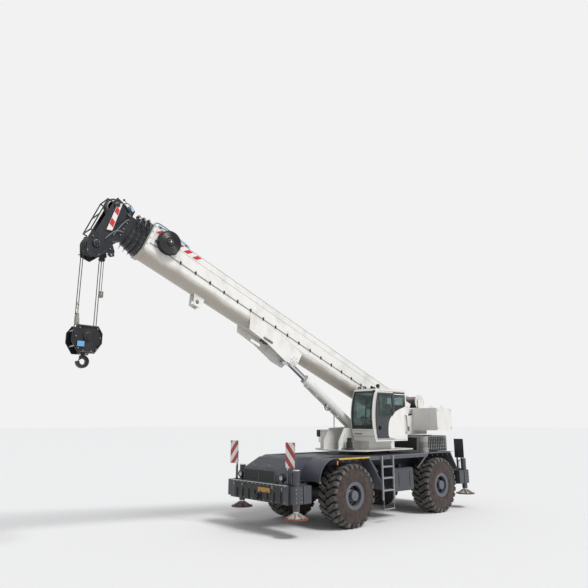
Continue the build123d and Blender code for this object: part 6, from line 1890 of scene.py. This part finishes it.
# Steel base with a rubber bellows, arm rests with joysticks, the back's shell.
turned(
    mesh,
    [(0.0, 0.15)] + [
        (0.03 + 0.05 * k + half * 0.025, 0.13 + 0.02 * half) for k in range(6) for half in (0, 1)
    ] + [(0.36, 0.14)],
    from_slew(-0.05, 0.93, 2.54), (0, 0, 1), 28, 1
)
block(mesh, from_slew(-0.03, 0.93, 2.905), (0.46, 0.44, 0.03), 0)
slab(
    mesh,
    [
        (0.21, 3.56), (0.15, 3.6), (-0.15, 3.6), (-0.21, 3.56), (-0.23, 3.1), (-0.2, 3.0), (0.2, 3.0),
        (0.23, 3.1)
    ],
    lambda a, b, depth: from_slew(depth, 0.93 + a, b), -0.36, -0.33, 0
)
for y in (0.62, 1.24):
    block(mesh, from_slew(-0.1, y, 3.19), (0.4, 0.075, 0.05), 0)
    block(mesh, from_slew(-0.24, y, 3.08), (0.06, 0.04, 0.2), 0)
    bent_rod(mesh, [from_slew(0.06, y, 3.2), from_slew(0.075, y, 3.33)], 0.014, 10, 1)
    turned(
        mesh, [(0, 0.018), (0.04, 0.028), (0.08, 0.024), (0.09, 0.0)], from_slew(0.075, y, 3.31),
        (0.1, 0, 1), 16, 1
    )
for y in (0.86, 1.0):
    bent_rod(mesh, [from_slew(-0.28, y, 3.55), from_slew(-0.28, y, 3.64)], 0.006, 8)
seat_frame = piece(mesh, "seat_frame", "cab", moulded_black, hose_rubber, edge=0.004)
# Console: moulded binnacle with a hooded screen, steering column with boss and a grip-coated wheel.
mesh = bmesh.new()
slab(
    mesh, [(0.66, 2.54), (0.86, 2.54), (0.9, 2.9), (0.86, 3.12), (0.74, 3.14), (0.66, 3.0)],
    lambda a, b, depth: from_slew(a, 0.93 + depth, b), -0.22, 0.22, 0
)
slab(
    mesh, [(0.73, 3.13), (0.82, 3.13), (0.85, 3.3), (0.8, 3.32), (0.79, 3.3), (0.76, 3.15)],
    lambda a, b, depth: from_slew(a, 0.72 + depth, b), -0.09, 0.09, 0
)
slab(
    mesh, [(0.757, 3.16), (0.762, 3.16), (0.786, 3.285), (0.781, 3.285)],
    lambda a, b, depth: from_slew(a - 0.003, 0.72 + depth, b), -0.075, 0.075, 1
)
bent_rod(mesh, [from_slew(0.72, 0.93, 3.02), from_slew(0.6, 0.93, 3.18)], 0.035, 14, 0)
wheel_middle = from_slew(0.57, 0.93, 3.205)
wheel_axis = Vector((-0.42, 0, 0.9)).normalized()
across = Vector((0, 1, 0))
upward = wheel_axis.cross(across)
spots = [wheel_middle + a * across + b * upward for a, b in ring(28, 0.185)]
circle = spots + spots[:1]
bent_rod(mesh, circle, 0.014, 10, 0, 0)
turned(mesh, [(-0.02, 0.03), (0.0, 0.045), (0.012, 0.04), (0.015, 0)], wheel_middle, wheel_axis, 20, 0)
for k in (3, 14, 25):
    bent_rod(mesh, [wheel_middle, circle[k]], 0.01, 8, 0)
for k in range(8):
    turned(
        mesh, [(0, 0.01), (0.006, 0.01), (0.008, 0.006), (0.008, 0)],
        from_slew(0.75 + 0.012 * (k % 2), 0.84 + 0.035 * k, 3.142), (-0.2, 0, 1), 12, 1
    )
for y in (0.8, 1.02):
    slab(
        mesh, [(0.5, 2.56), (0.6, 2.6), (0.595, 2.62), (0.49, 2.58)],
        lambda a, b, depth: from_slew(a, y + depth, b), -0.04, 0.04, 0
    )
screen_glass = sprayed_enamel("screen_glass", "#101a22", "#1c2a33", 0.15, 0.1)
console = piece(mesh, "console_and_wheel", "cab", moulded_black, screen_glass, edge=0.003)
mesh = bmesh.new()
# Ribbed rubber floor mat.
block(mesh, from_slew(0.2, 0.93, 2.545), (1.4, 0.86, 0.008), 0)
for k in range(24):
    block(mesh, from_slew(0.2, 0.53 + k * 0.035, 2.551), (1.38, 0.012, 0.006), 0)
piece(mesh, "cab_floor_mat", "cab", hose_rubber, edge=0.0)
for stand_in in (seat, back_rest, head_rest, seat_frame, console):
    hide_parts("seat_and_console")
